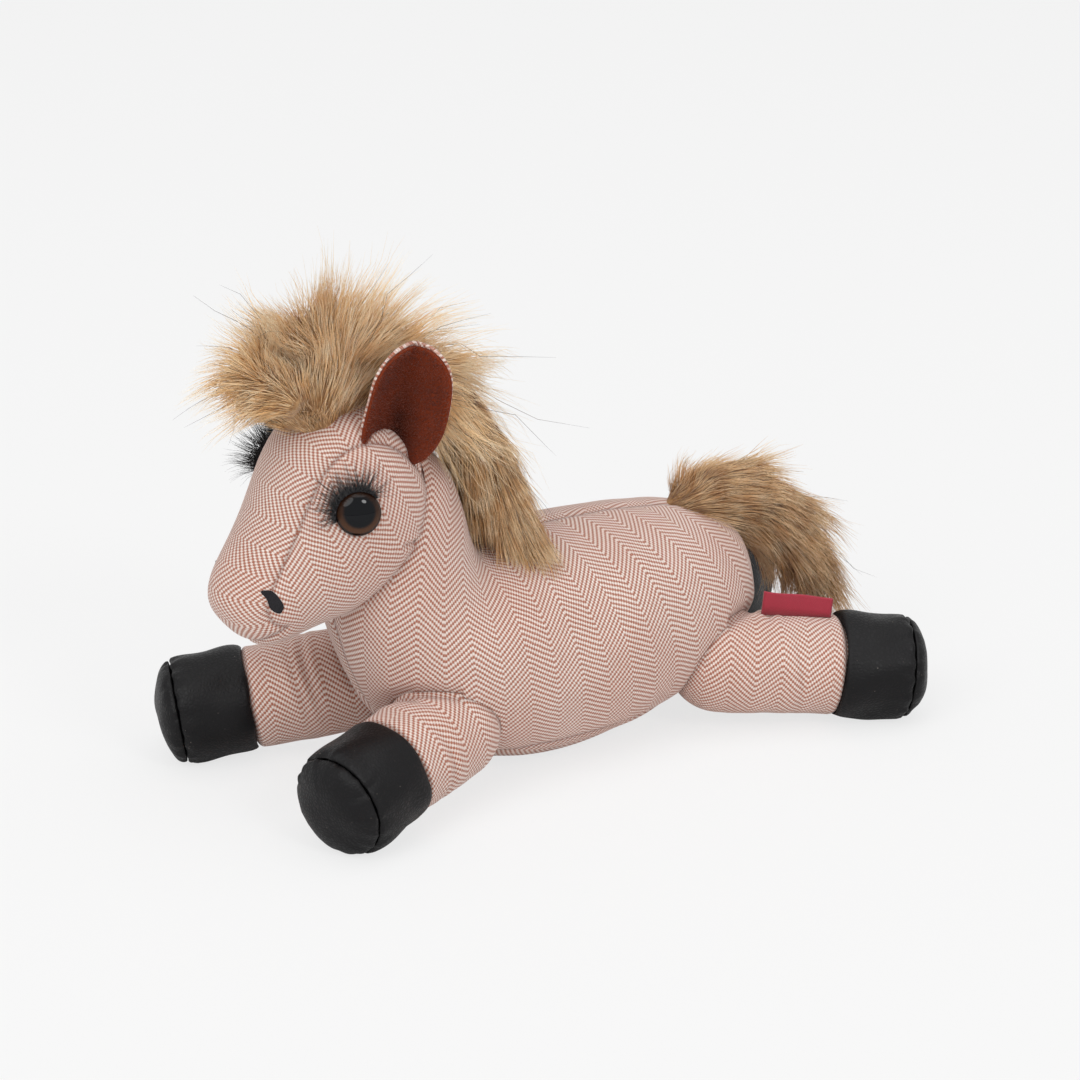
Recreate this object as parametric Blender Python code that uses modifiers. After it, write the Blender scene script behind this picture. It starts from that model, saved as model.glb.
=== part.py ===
# Plush horse lying on its belly: sewn fabric covers over fibre stuffing, leatherette hooves, felt lined ears,
# safety eyes with lock washers, and a faux fur mane and tail. Metres, +Z up, the head towards -X, the horse's
# left side towards -Y. The origin is on the floor under the belly.
import math

import bmesh
import bpy
from mathutils import Matrix, Vector
from mathutils.bvhtree import BVHTree

# Cloth, seams and running clearances
cover_thickness = 0.0012
hoof_cover_thickness = 0.0010
seam_gap = 0.0003
stuffing_gap = 0.0010
swing_gap = 0.0006
rest_flat_depth = 0.0005
cut_overrun = 0.4

# Body, from the rump to the end of the neck inside the head
body_length = 0.170
body_height = 0.084
body_width = 0.080
belly_seam_height = 0.012

# Head, measured from its nodding axis, which is the centre of its round back
head_forward = 0.0865
head_height = 0.1065
head_radius = 0.0375
head_width = 0.068
head_length = 0.090
head_tilt = math.radians(40)
neck_socket_around = 0.0415
neck_socket_across = 0.0358
neck_opening_depth = 0.030
gusset_crown_width = 0.042
gusset_nose_width = 0.033
gusset_drop = -0.004

# Legs, as the pivots of their roots and the places of their hooves' middles on the floor
front_left_pivot = Vector((-0.052, -0.0235, 0.0265))
front_left_hoof = Vector((-0.0945, -0.0360))
front_right_pivot = Vector((-0.058, 0.0320, 0.0260))
front_right_hoof = Vector((-0.1055, 0.0530))
rear_left_pivot = Vector((0.062, -0.0240, 0.0245))
rear_left_hoof = Vector((0.1155, -0.0490))
rear_right_pivot = Vector((0.062, 0.0240, 0.0245))
rear_right_hoof = Vector((0.1155, 0.0490))
leg_root_radius = 0.0185
leg_radius = 0.0180
leg_seam_radius = 0.0172
leg_seam_pinch = 0.0025
hoof_radius = 0.0192
hoof_seam_radius = 0.0182
hoof_band_length = 0.0255
hoof_round = 0.0030
hoof_dome = 0.0080
swing_in = math.radians(12)
swing_out = math.radians(18)

# Safety eyes
eye_radius = 0.0075
eye_dome = 0.0048
eye_edge = 0.0012
eye_stem_radius = 0.0021
eye_stem_length = 0.0110
washer_radius = 0.0065
washer_thickness = 0.0012
eye_azimuth = math.radians(87)
eye_elevation = math.radians(17)
lash_radius = 0.0010
lash_start = math.radians(35)
lash_end = math.radians(200)

# Nostril patches
nostril_width = 0.0088
nostril_height = 0.0084
nostril_thickness = 0.0008
nostril_along = 0.0336
nostril_rise = math.radians(7)
nostril_turn = math.radians(5)

# Ears
ear_height = 0.0385
ear_width = 0.0275
ear_cup = 0.0075
ear_cloth = 0.0008
ear_lining_share = 0.93
ear_along = 0.0215
ear_side = 0.0115
ear_rise = 0.0220
ear_lean_back = math.radians(9)
ear_lean_out = math.radians(9)
ear_turn = math.radians(22)
ear_flex = math.radians(15)

# Mane and tail
mane_base_radius = 0.030
mane_top_radius = 0.083
mane_width = 0.038
neck_mane_depth = 0.034
neck_mane_width = 0.034
tail_pivot_along = 0.060
tail_pivot_height = 0.0795
tail_root_radius = 0.0085
tail_length = 0.076
tail_thickness = 0.034
tail_drop = math.radians(8)
tail_lift = math.radians(35)

# Bare side label in the rear left leg's top seam
label_length = 0.0256
label_height = 0.0072
label_thickness = 0.0009
label_start = 0.0135

# How finely round forms are divided
ring_count = 6
turned_steps = 16

# Rings of the body from the rump to the neck: place along the length, height, lean in degrees, half height
# and half width
body_ring_shares = (
    (0.512, 0.545, 0, 0.150, 0.140),
    (0.462, 0.545, 0, 0.330, 0.310),
    (0.318, 0.535, 0, 0.430, 0.440),
    (0.129, 0.505, 0, 0.497, 0.500),
    (-0.082, 0.491, 0, 0.509, 0.505),
    (-0.247, 0.568, 25, 0.480, 0.490),
    (-0.325, 0.780, 55, 0.365, 0.400),
    (-0.352, 1.080, 76, 0.325, 0.345),
    (-0.372, 1.360, 82, 0.290, 0.300),
    (-0.380, 1.500, 85, 0.140, 0.140),
)

# Rings of the head along its own axis: place along the length, drop, half height and half width
head_ring_shares = (
    (-0.420, 0.000, 0.170, 0.160),
    (-0.335, -0.010, 0.350, 0.355),
    (-0.122, -0.035, 0.470, 0.490),
    (0.125, -0.080, 0.370, 0.415),
    (0.320, -0.060, 0.275, 0.310),
    (0.465, -0.045, 0.220, 0.245),
    (0.555, -0.040, 0.120, 0.140),
)

# Rings of the head mane round the nodding axis: angle in degrees, inner and outer radius, half width
mane_ring_shares = (
    (40, 0.70, 0.92, 0.28),
    (46, 0.50, 0.98, 0.40),
    (64, 0.33, 0.98, 0.42),
    (82, 0.33, 1.00, 0.42),
    (98, 0.34, 1.00, 0.44),
    (111, 0.40, 0.97, 0.42),
    (118, 0.55, 0.88, 0.28),
)

# Rings of the neck mane down the crest of the neck: along, side and height as shares of the body's length,
# width and height, lean in degrees, half depth and half width
neck_mane_ring_shares = (
    (-0.200, 0.00, 1.620, 42, 0.26, 0.28),
    (-0.185, -0.02, 1.550, 46, 0.44, 0.42),
    (-0.150, -0.05, 1.380, 52, 0.50, 0.50),
    (-0.108, -0.10, 1.180, 58, 0.48, 0.52),
    (-0.070, -0.17, 1.020, 66, 0.36, 0.42),
    (-0.058, -0.20, 0.950, 72, 0.20, 0.24),
)

# Rings of the tail from its root: along the length, drop, half thickness and half width
tail_ring_shares = (
    (-0.090, -0.080, 0.14, 0.14),
    (0.020, -0.030, 0.27, 0.26),
    (0.200, -0.010, 0.42, 0.38),
    (0.420, -0.080, 0.50, 0.44),
    (0.650, -0.280, 0.46, 0.38),
    (0.820, -0.540, 0.30, 0.26),
    (0.855, -0.660, 0.14, 0.14),
)

# Rows of an ear from its base to its tip: height, half width, lean of the row to the rear
ear_row_shares = (
    (-0.28, 0.66, -0.05),
    (0.00, 0.86, -0.02),
    (0.28, 1.00, 0.00),
    (0.58, 0.90, 0.02),
    (0.84, 0.56, 0.08),
    (1.00, 0.16, 0.14),
)

# Columns of an ear from its front edge to its rear edge, as shares of half its width
ear_column_shares = (-1, -0.5, 0, 0.5, 1)

# Outline of a nostril patch, a comma that leans to the rear
nostril_outline_shares = (
    (-0.50, 0.50),
    (-0.06, 0.48),
    (0.22, 0.30),
    (0.50, -0.20),
    (0.36, -0.38),
    (0.34, -0.50),
    (0.15, -0.47),
    (-0.10, -0.30),
    (-0.14, 0.02),
    (-0.28, 0.26),
)


def clear_scene():
    for old in list(bpy.data.objects):
        bpy.data.objects.remove(old, do_unlink=True)


def make_collection(name, hidden):
    made = bpy.data.collections.new(name)
    bpy.context.scene.collection.children.link(made)
    made.hide_render = hidden
    return made


def make_material(name, colour, roughness):
    made = bpy.data.materials.new(name)
    made.use_nodes = True
    shader = made.node_tree.nodes["Principled BSDF"]
    shader.inputs["Base Color"].default_value = (*colour, 1)
    shader.inputs["Roughness"].default_value = roughness
    shader.inputs["Metallic"].default_value = 0
    made.diffuse_color = (*colour, 1)
    return made


clear_scene()
parts = make_collection("plush_horse", False)
cutters = make_collection("cutters", True)
herringbone = make_material("herringbone", (0.58, 0.38, 0.33), 0.9)
leatherette = make_material("leatherette", (0.012, 0.012, 0.013), 0.42)
felt = make_material("felt", (0.115, 0.020, 0.009), 0.95)
fur = make_material("fur", (0.42, 0.25, 0.13), 0.8)
fibre = make_material("fibre", (0.85, 0.85, 0.83), 1.0)
eye_gloss = make_material("eye_gloss", (0.05, 0.022, 0.010), 0.08)
washer_plastic = make_material("washer_plastic", (0.75, 0.75, 0.72), 0.5)
black_trim = make_material("black_trim", (0.006, 0.006, 0.007), 0.8)
label_ribbon = make_material("label_ribbon", (0.39, 0.010, 0.037), 0.7)


def place(name, data, finish=None, frame=None):
    """A part with its finish, or a cutter when it has none, held by the empty that carries it."""
    made = bpy.data.objects.new(name, data)
    if finish:
        data.materials.append(finish)
        parts.objects.link(made)
    else:
        cutters.objects.link(made)
        made.hide_render = True
        made.display_type = "WIRE"
    if frame:
        made.parent = frame
    return made


def make_frame(name, matrix):
    """An empty that carries pieces: a joint's pivot, or the seat of a small piece."""
    frame = bpy.data.objects.new(name, None)
    frame.empty_display_size = eye_radius
    frame.matrix_world = matrix
    parts.objects.link(frame)
    return frame


def axes_matrix(x_axis, y_axis, z_axis, origin):
    return Matrix.Translation(origin) @ Matrix((x_axis, y_axis, z_axis)).transposed().to_4x4()


def soften(obj, levels):
    smooth = obj.modifiers.new("soften", "SUBSURF")
    smooth.levels = levels
    smooth.render_levels = levels


def make_shell(obj, thickness):
    wall = obj.modifiers.new("wall", "SOLIDIFY")
    wall.thickness = thickness
    wall.offset = -1
    wall.use_even_offset = True


def grow(obj, distance):
    """Moves every point out along its normal, or in where the distance is negative."""
    offset = obj.modifiers.new("grow", "DISPLACE")
    offset.mid_level = 0
    offset.strength = distance


def cut(obj, *tools, operation="DIFFERENCE"):
    for tool in tools:
        boolean = obj.modifiers.new(tool.name, "BOOLEAN")
        boolean.operation = operation
        boolean.object = tool


def smooth_mesh(mesh):
    for polygon in mesh.polygons:
        polygon.use_smooth = True
    return mesh


def loft_mesh(name, rings):
    """A closed cage through rings of equally many points."""
    builder = bmesh.new()
    rows = [[builder.verts.new(point) for point in ring] for ring in rings]
    for row, following in zip(rows, rows[1:]):
        for index in range(len(row)):
            nearby = (index + 1) % len(row)
            builder.faces.new((row[index], row[nearby], following[nearby], following[index]))
    builder.faces.new(rows[0][::-1])
    builder.faces.new(rows[-1])
    bmesh.ops.recalc_face_normals(builder, faces=builder.faces)
    mesh = bpy.data.meshes.new(name)
    builder.to_mesh(mesh)
    builder.free()
    return smooth_mesh(mesh)


def cage_ring(centre, up, side, half_height, half_width):
    """Points round a centre. They stand out by what subdivision draws them in."""
    swell = 3 / (2 + math.cos(math.tau / ring_count))
    turns = [math.tau * index / ring_count for index in range(ring_count)]
    return [
        centre + swell * (up * half_height * math.cos(turn) + side * half_width * math.sin(turn))
        for turn in turns
    ]


def box_mesh(name, low, high):
    builder = bmesh.new()
    bmesh.ops.create_cube(builder, size=1)
    middle = (Vector(low) + Vector(high)) / 2
    size = Vector(high) - Vector(low)
    for vertex in builder.verts:
        vertex.co = middle + Vector(a * b for a, b in zip(vertex.co, size))
    mesh = bpy.data.meshes.new(name)
    builder.to_mesh(mesh)
    builder.free()
    return mesh


def turned(name, profile, closed, finish, frame):
    """A profile of (radius, height) pairs turned about the frame's Z axis, the outer side first, downwards."""
    mesh = bpy.data.meshes.new(name)
    count = len(profile)
    edges = [(index, index + 1) for index in range(count - 1)]
    if closed:
        edges.append((count - 1, 0))
    mesh.from_pydata([(radius, 0, height) for radius, height in profile], edges, [])
    made = place(name, mesh, finish, frame)
    screw = made.modifiers.new("turn", "SCREW")
    screw.axis = "Z"
    screw.steps = turned_steps
    screw.render_steps = turned_steps
    screw.use_merge_vertices = True
    screw.merge_threshold = 0.00001
    screw.use_smooth_shade = True
    return made


def arc(radius_across, radius_along, base, start, end, count):
    """Points of a quarter or part ellipse as (radius, height) pairs, from start to end in degrees."""
    turns = [math.radians(start + (end - start) * index / count) for index in range(count + 1)]
    return [(radius_across * math.cos(turn), base + radius_along * math.sin(turn)) for turn in turns]


side_axis = Vector((0, 1, 0))
up_axis = Vector((0, 0, 1))
floor_cutter = place(
    "floor_cutter",
    box_mesh("floor_cutter", (-cut_overrun, -cut_overrun, -cut_overrun), (cut_overrun, cut_overrun, 0)),
)


def half_cutter(name, side, gap, frame=None):
    """All that lies on one side of the middle plane, up to half a seam's gap past it."""
    low = Vector((-cut_overrun, -cut_overrun, -cut_overrun))
    high = Vector((cut_overrun, cut_overrun, cut_overrun))
    if side > 0:
        low.y = -gap / 2
    else:
        high.y = gap / 2
    return place(name, box_mesh(name, low, high), None, frame)


# Legs

class Leg:
    """Places of one leg: its frame has Z towards the hoof, X outwards and Y along the hinge."""

    def __init__(self, name, pivot, hoof):
        self.name = name
        self.pivot = pivot
        target = Vector((hoof.x, hoof.y, hoof_radius - rest_flat_depth))
        along = target - pivot
        hoof_length = hoof_band_length + hoof_dome
        self.length = along.length - hoof_length / 2
        along.normalize()
        outward = Vector((-along.y, along.x, 0)).normalized()
        if outward.y * pivot.y < 0:
            outward = -outward
        self.hinge = along.cross(outward)
        self.matrix = axes_matrix(outward, self.hinge, along, self.pivot)
        self.frame = make_frame(name + "_pivot", self.matrix)
        self.band_end = self.length + seam_gap + hoof_band_length


legs = [
    Leg("front_left", front_left_pivot, front_left_hoof),
    Leg("front_right", front_right_pivot, front_right_hoof),
    Leg("rear_left", rear_left_pivot, rear_left_hoof),
    Leg("rear_right", rear_right_pivot, rear_right_hoof),
]


def leg_outline(leg, inset):
    """The fabric tube from the hoof's seam down to its rounded root, drawn in by an inset."""
    end = [
        (leg_seam_radius - inset, leg.length),
        (leg_radius - inset, leg.length - leg_seam_pinch),
    ]
    root = arc(leg_root_radius - inset, leg_root_radius - inset, 0, 0, -90, 4)
    root[-1] = (0, root[-1][1])
    return end + root


def make_leg_cover(leg):
    outside = leg_outline(leg, 0)
    inside = leg_outline(leg, cover_thickness)
    turned(leg.name + "_leg_cover", inside[::-1] + outside, False, herringbone, leg.frame)


def hoof_band_outline(leg, inset):
    start = leg.length + seam_gap
    return [
        (hoof_seam_radius - inset, leg.band_end),
        (hoof_radius - inset, leg.band_end - hoof_round),
        (hoof_radius - inset, start + hoof_round),
        (hoof_seam_radius - inset, start),
    ]


def make_hoof_band(leg):
    outside = hoof_band_outline(leg, 0)
    inside = hoof_band_outline(leg, hoof_cover_thickness)
    band = turned(leg.name + "_hoof_band", outside + inside[::-1], True, leatherette, leg.frame)
    cut(band, floor_cutter)


def sole_outline(leg, inset):
    """The domed sole from its middle to its seam."""
    base = leg.band_end + seam_gap
    dome = arc(hoof_seam_radius - inset, hoof_dome - seam_gap - inset, base, 90, 0, 4)
    dome[0] = (0, dome[0][1])
    return dome


def make_hoof_sole(leg):
    outside = sole_outline(leg, 0)
    inside = sole_outline(leg, hoof_cover_thickness)
    turned(leg.name + "_hoof_sole", outside + inside[::-1], False, leatherette, leg.frame)


def make_leg_stuffing(leg):
    hoof_inset = hoof_cover_thickness + seam_gap
    leg_inset = cover_thickness + seam_gap
    profile = sole_outline(leg, hoof_inset)[:-1]
    profile += hoof_band_outline(leg, hoof_inset)[:-1]
    profile.append((leg_seam_radius - leg_inset, leg.length + seam_gap))
    profile += leg_outline(leg, leg_inset)
    turned(leg.name + "_leg_stuffing", profile, False, fibre, leg.frame)


def make_leg_socket(leg):
    """What the leg's round root and tube sweep between their limits, with the running gap, cut from the body."""
    points = turned_steps
    radius = (leg_root_radius + swing_gap) / math.cos(math.pi / points)
    rings = []
    for turn in (-88, -66, -44, -22, 0):
        place_along = radius * math.sin(math.radians(turn))
        rings.append((place_along, radius * math.cos(math.radians(turn))))
    rings.append((leg.length, radius))
    mesh_rings = []
    for along, ring_radius in rings:
        spread = max(along, 0)
        ring = []
        for index in range(points):
            turn = math.tau * (index + 0.5) / points
            across = ring_radius * math.cos(turn)
            limit = swing_out if across > 0 else -swing_in
            ring.append(
                Vector((across / math.cos(limit) + spread * math.tan(limit), ring_radius * math.sin(turn), along))
                if along > 0
                else Vector((across, ring_radius * math.sin(turn), along))
            )
        mesh_rings.append(ring)
    name = leg.name + "_leg_socket"
    return place(name, loft_mesh(name, mesh_rings), None, leg.frame)


for leg in legs:
    make_leg_cover(leg)
    make_hoof_band(leg)
    make_hoof_sole(leg)
    make_leg_stuffing(leg)
leg_sockets = [make_leg_socket(leg) for leg in legs]


def make_label(leg):
    """A bare folded ribbon that stands in the seam on top of the leg."""
    up = -1 if leg.hinge.z < 0 else 1
    base = up * (leg_root_radius + seam_gap)
    tip = base + up * label_height
    low = (-label_thickness / 2, min(base, tip), label_start)
    high = (label_thickness / 2, max(base, tip), label_start + label_length)
    place("side_label", box_mesh("side_label", low, high), label_ribbon, leg.frame)


make_label(legs[2])


# Head

head_axis = Vector((-math.cos(head_tilt), 0, -math.sin(head_tilt)))
head_up = Vector((-math.sin(head_tilt), 0, math.cos(head_tilt)))
head_centre = Vector((-head_forward, 0, head_height))
head_frame = make_frame("head_pivot", Matrix.Translation(head_centre))
head_mesh = loft_mesh(
    "head_form",
    [
        cage_ring(
            head_axis * along * head_length + head_up * drop * head_length,
            head_up,
            side_axis,
            high * 2 * head_radius,
            wide * head_width,
        )
        for along, drop, high, wide in head_ring_shares
    ],
)
head_form = place("head_form", head_mesh, None, head_frame)
soften(head_form, 2)


def head_box(name, low, high):
    """A box in the head's own axes: along its axis, across, and up from the axis."""
    mesh = box_mesh(name, low, high)
    mesh.transform(Matrix((head_axis, -side_axis, head_up)).transposed().to_4x4())
    return place(name, mesh, None, head_frame)


neck_opening = head_box(
    "neck_opening_cutter",
    (-cut_overrun, -cut_overrun, -cut_overrun),
    (cut_overrun, cut_overrun, -neck_opening_depth),
)


def gusset_wedge(name, gap):
    """The tapered strip over the forehead, as a wedge that is wider at the crown than at the nose."""
    rings = []
    for along, width in ((-head_length, gusset_crown_width), (head_length, gusset_nose_width)):
        taper = (gusset_crown_width - gusset_nose_width) / head_length
        half = (width + taper * abs(along) * (1 if along < 0 else -1) / 2 + gap) / 2
        rings.append(
            [
                head_axis * along + side_axis * side * half + head_up * rise
                for side, rise in (
                    (-1, gusset_drop - gap / 2),
                    (1, gusset_drop - gap / 2),
                    (1, head_length),
                    (-1, head_length),
                )
            ]
        )
    return place(name, loft_mesh(name, rings), None, head_frame)


gusset_limit = gusset_wedge("gusset_limit", -seam_gap)
gusset_cutter = gusset_wedge("gusset_cutter", seam_gap)


def surface_tree(form):
    graph = bpy.context.evaluated_depsgraph_get()
    return BVHTree.FromObject(form, graph)


def surface_frame(name, tree, origin, direction, up):
    """An empty where a ray from inside the head leaves it, with Z along the surface's normal. Head axes."""
    point, normal, _, _ = tree.ray_cast(origin, direction)
    across = up.cross(normal).normalized()
    matrix = axes_matrix(across, normal.cross(across), normal, point)
    frame = make_frame(name, matrix)
    frame.parent = head_frame
    return frame


bpy.context.view_layer.update()
head_tree = surface_tree(head_form)
sides = (("left", -1), ("right", 1))


def spherical(azimuth, elevation, side):
    """A direction from the nose's heading turned by an azimuth to one side and raised by an elevation."""
    flat = math.cos(elevation)
    return Vector((-flat * math.cos(azimuth), side * flat * math.sin(azimuth), math.sin(elevation)))


def make_eye(name, side):
    frame = surface_frame(name + "_eye_seat", head_tree, Vector(), spherical(eye_azimuth, eye_elevation, side), up_axis)
    dome = arc(eye_radius, eye_dome - eye_edge, seam_gap + eye_edge, 90, 0, 5)
    dome[0] = (0, dome[0][1])
    stem_end = seam_gap - eye_stem_length
    profile = dome + [
        (eye_radius, seam_gap),
        (eye_stem_radius, seam_gap),
        (eye_stem_radius, stem_end),
        (0, stem_end),
    ]
    turned(name + "_eye", profile, False, eye_gloss, frame)
    hollow_of_cover = washer_radius**2 / head_radius
    top = -(cover_thickness + hollow_of_cover + seam_gap)
    bottom = top - washer_thickness
    bore = eye_stem_radius + seam_gap
    ring = [(washer_radius, top), (washer_radius, bottom), (bore, bottom), (bore, top)]
    turned(name + "_eye_washer", ring, True, washer_plastic, frame)
    pocket = washer_radius + seam_gap
    pocket_profile = [
        (0, eye_dome),
        (pocket, eye_dome),
        (pocket, bottom - seam_gap),
        (bore, bottom - seam_gap),
        (bore, stem_end - seam_gap),
        (0, stem_end - seam_gap),
    ]
    pocket_cutter = turned(name + "_eye_pocket", pocket_profile, False, None, frame)
    hole_profile = [(0, eye_dome), (bore, eye_dome), (bore, stem_end), (0, stem_end)]
    hole_cutter = turned(name + "_eye_hole", hole_profile, False, None, frame)
    make_lash(name, side, frame)
    return pocket_cutter, hole_cutter


def make_lash(name, side, frame):
    """The lash strip, a cord of fur backing that hugs the eye's top and front."""
    curve = bpy.data.curves.new(name + "_lash_strip", "CURVE")
    curve.dimensions = "3D"
    curve.bevel_depth = lash_radius
    curve.bevel_resolution = 1
    curve.use_fill_caps = True
    reach = eye_radius + seam_gap + lash_radius
    height = seam_gap * 3 + lash_radius - reach**2 / head_width
    count = 9
    spline = curve.splines.new("POLY")
    spline.points.add(count - 1)
    for index, point in enumerate(spline.points):
        turn = lash_start + (lash_end - lash_start) * index / (count - 1)
        point.co = (-side * reach * math.cos(turn), reach * math.sin(turn), height, 1)
    place(name + "_lash_strip", curve, black_trim, frame)


eye_cutters = {name: make_eye(name, side) for name, side in sides}


def make_nostril(name, side):
    """A thin comma shaped patch on the side of the muzzle."""
    origin = head_axis * nostril_along
    flat = math.cos(nostril_rise)
    direction = (
        side_axis * side * flat * math.cos(nostril_turn)
        + head_axis * flat * math.sin(nostril_turn)
        + head_up * math.sin(nostril_rise)
    )
    frame = surface_frame(name + "_nostril_seat", head_tree, origin, direction, up_axis)
    curve = bpy.data.curves.new(name + "_nostril_patch", "CURVE")
    curve.dimensions = "2D"
    curve.fill_mode = "BOTH"
    curve.extrude = nostril_thickness / 2
    spline = curve.splines.new("POLY")
    spline.points.add(len(nostril_outline_shares) - 1)
    spline.use_cyclic_u = True
    for point, (across, up) in zip(spline.points, nostril_outline_shares):
        point.co = (-side * across * nostril_width, up * nostril_height, 0, 1)
    patch = place(name + "_nostril_patch", curve, black_trim, frame)
    patch.location.z = seam_gap + nostril_thickness / 2


for name, side in sides:
    make_nostril(name, side)


def make_head_cover():
    for (name, side), other_half in zip(sides, (right_half_of_head, left_half_of_head)):
        panel = place("head_" + name + "_side", head_mesh.copy(), herringbone, head_frame)
        soften(panel, 2)
        make_shell(panel, cover_thickness)
        cut(panel, other_half, gusset_cutter, neck_opening, eye_cutters[name][1])
    gusset = place("forehead_gusset", head_mesh.copy(), herringbone, head_frame)
    soften(gusset, 2)
    make_shell(gusset, cover_thickness)
    cut(gusset, gusset_limit, operation="INTERSECT")
    cut(gusset, neck_opening)


right_half_of_head = half_cutter("right_half_of_head", 1, seam_gap, head_frame)
left_half_of_head = half_cutter("left_half_of_head", -1, seam_gap, head_frame)
make_head_cover()
head_stuffing = place("head_stuffing", head_mesh.copy(), fibre, head_frame)
soften(head_stuffing, 1)
grow(head_stuffing, -(cover_thickness + stuffing_gap))
cut(head_stuffing, eye_cutters["left"][0], eye_cutters["right"][0])


# Body

body_mesh = loft_mesh(
    "body_form",
    [
        cage_ring(
            Vector((along * body_length, 0, height * body_height - rest_flat_depth)),
            Vector((math.sin(math.radians(lean)), 0, math.cos(math.radians(lean)))),
            side_axis,
            high * body_height,
            wide * body_width,
        )
        for along, height, lean, high, wide in body_ring_shares
    ],
)


def ball(name, across, around, frame):
    """A round cutter, across the middle plane and around the frame's Y axis."""
    builder = bmesh.new()
    bmesh.ops.create_uvsphere(builder, u_segments=turned_steps, v_segments=turned_steps // 2, radius=1)
    for vertex in builder.verts:
        vertex.co = Vector((vertex.co.x * around, vertex.co.y * across, vertex.co.z * around))
    mesh = bpy.data.meshes.new(name)
    builder.to_mesh(mesh)
    builder.free()
    return place(name, smooth_mesh(mesh), None, frame)


def turned_copy(name, mesh, axis, turn, frame, matrix, gap):
    """A grown copy of a form as it stands when its frame has turned by an angle, for cutting its neighbour."""
    made = place(name, mesh.copy(), None, frame)
    made.matrix_local = Matrix.Rotation(turn, 4, axis) @ matrix
    soften(made, 2)
    grow(made, gap)
    return made


neck_socket = ball("neck_socket", neck_socket_across, neck_socket_around, head_frame)
tail_centre = Vector((tail_pivot_along, 0, tail_pivot_height))
tail_frame = make_frame("tail_pivot", Matrix.Translation(tail_centre))
tail_socket_radius = tail_root_radius + swing_gap
tail_socket = ball("tail_socket", tail_socket_radius, tail_socket_radius, tail_frame)
sockets = [neck_socket, tail_socket, *leg_sockets]

body_skin = place("body_skin", body_mesh.copy())
soften(body_skin, 2)
bpy.context.view_layer.update()


def cut_sheet(name, form, planes):
    """The open skin of a form on the inner side of each plane, which is a point and a normal outwards."""
    graph = bpy.context.evaluated_depsgraph_get()
    builder = bmesh.new()
    builder.from_mesh(form.evaluated_get(graph).to_mesh())
    for point, normal in planes:
        geometry = [*builder.verts, *builder.edges, *builder.faces]
        bmesh.ops.bisect_plane(builder, geom=geometry, plane_co=point, plane_no=normal, clear_outer=True)
    mesh = bpy.data.meshes.new(name)
    builder.to_mesh(mesh)
    builder.free()
    return smooth_mesh(mesh)


def make_body_panel(name, planes, *tools):
    panel = place(name, cut_sheet(name, body_skin, planes), herringbone)
    make_shell(panel, cover_thickness)
    cut(panel, *tools)


above_belly_seam = (up_axis * (belly_seam_height + seam_gap / 2), -up_axis)
below_belly_seam = (up_axis * (belly_seam_height - seam_gap / 2), up_axis)
for name, side in sides:
    make_body_panel(
        "body_" + name + "_side",
        ((side_axis * side * seam_gap, -side_axis * side), above_belly_seam),
        *sockets,
    )
make_body_panel("belly_panel", (below_belly_seam,), floor_cutter, *leg_sockets)
body_stuffing = place("body_stuffing", body_mesh.copy(), fibre)
soften(body_stuffing, 1)
grow(body_stuffing, -(cover_thickness + stuffing_gap))
cut(body_stuffing, *sockets)
body_form = place("body_form", body_mesh.copy())
soften(body_form, 2)
grow(body_form, seam_gap)


# Ears

def ear_matrix(side):
    """The ear's frame in head axes: X across, Y out of the cup, Z towards the tip."""
    facing = Vector((-math.sin(ear_turn), side * math.cos(ear_turn), 0))
    up = Vector((math.sin(ear_lean_back), side * math.sin(ear_lean_out), 1)).normalized()
    facing = (facing - up * facing.dot(up)).normalized()
    return axes_matrix(facing.cross(up), facing, up, Vector((ear_along, side * ear_side, ear_rise)))


def ear_sheet(name, side, size, depth):
    """A cupped leaf, as rows across from its base to its tip, standing out of the cup by a depth."""
    builder = bmesh.new()
    rows = []
    for height, half_width, lean in ear_row_shares:
        row = []
        for column in ear_column_shares:
            across = (column * half_width * size / 2 + side * lean) * ear_width
            cup = ear_cup * half_width * column**2 + depth
            row.append(builder.verts.new((across, cup, height * ear_height * size)))
        rows.append(row)
    for row, following in zip(rows, rows[1:]):
        for index in range(len(row) - 1):
            builder.faces.new((row[index], row[index + 1], following[index + 1], following[index]))
    bmesh.ops.recalc_face_normals(builder, faces=builder.faces)
    mesh = bpy.data.meshes.new(name)
    builder.to_mesh(mesh)
    builder.free()
    return smooth_mesh(mesh)


def make_ear(name, side):
    matrix = ear_matrix(side)
    frame = make_frame(name + "_ear_pivot", matrix)
    frame.parent = head_frame
    trims = [
        turned_copy(name + "_ear_trim", head_mesh, "X", turn, frame, matrix.inverted(), seam_gap)
        for turn in (-ear_flex, 0, ear_flex)
    ]
    pieces = (
        (name + "_ear_back", herringbone, 1, 0),
        (name + "_ear_lining", felt, ear_lining_share, ear_cloth + seam_gap),
    )
    for piece, finish, size, depth in pieces:
        sheet = place(piece, ear_sheet(piece, side, size, depth), finish, frame)
        soften(sheet, 1)
        wall = sheet.modifiers.new("wall", "SOLIDIFY")
        wall.thickness = ear_cloth
        wall.offset = 0
        cut(sheet, *trims)
    return make_ear_sweep(name, frame)


def make_ear_sweep(name, frame):
    """All that the ear passes through as it flexes, cut from the mane."""
    half = ear_width / 2 + swing_gap * 2
    front = -(ear_cloth + swing_gap)
    back = ear_cup + ear_cloth * 2 + swing_gap
    rings = []
    for height in (-ear_height / 2, 0, ear_height + swing_gap * 2):
        spread = max(height, 0) * math.tan(ear_flex)
        rings.append(
            [
                Vector((across, depth, height))
                for across, depth in (
                    (-half, front - spread),
                    (half, front - spread),
                    (half, back + spread),
                    (-half, back + spread),
                )
            ]
        )
    return place(name + "_ear_sweep", loft_mesh(name + "_ear_sweep", rings), None, frame)


ear_sweeps = [make_ear(name, side) for name, side in sides]


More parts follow.
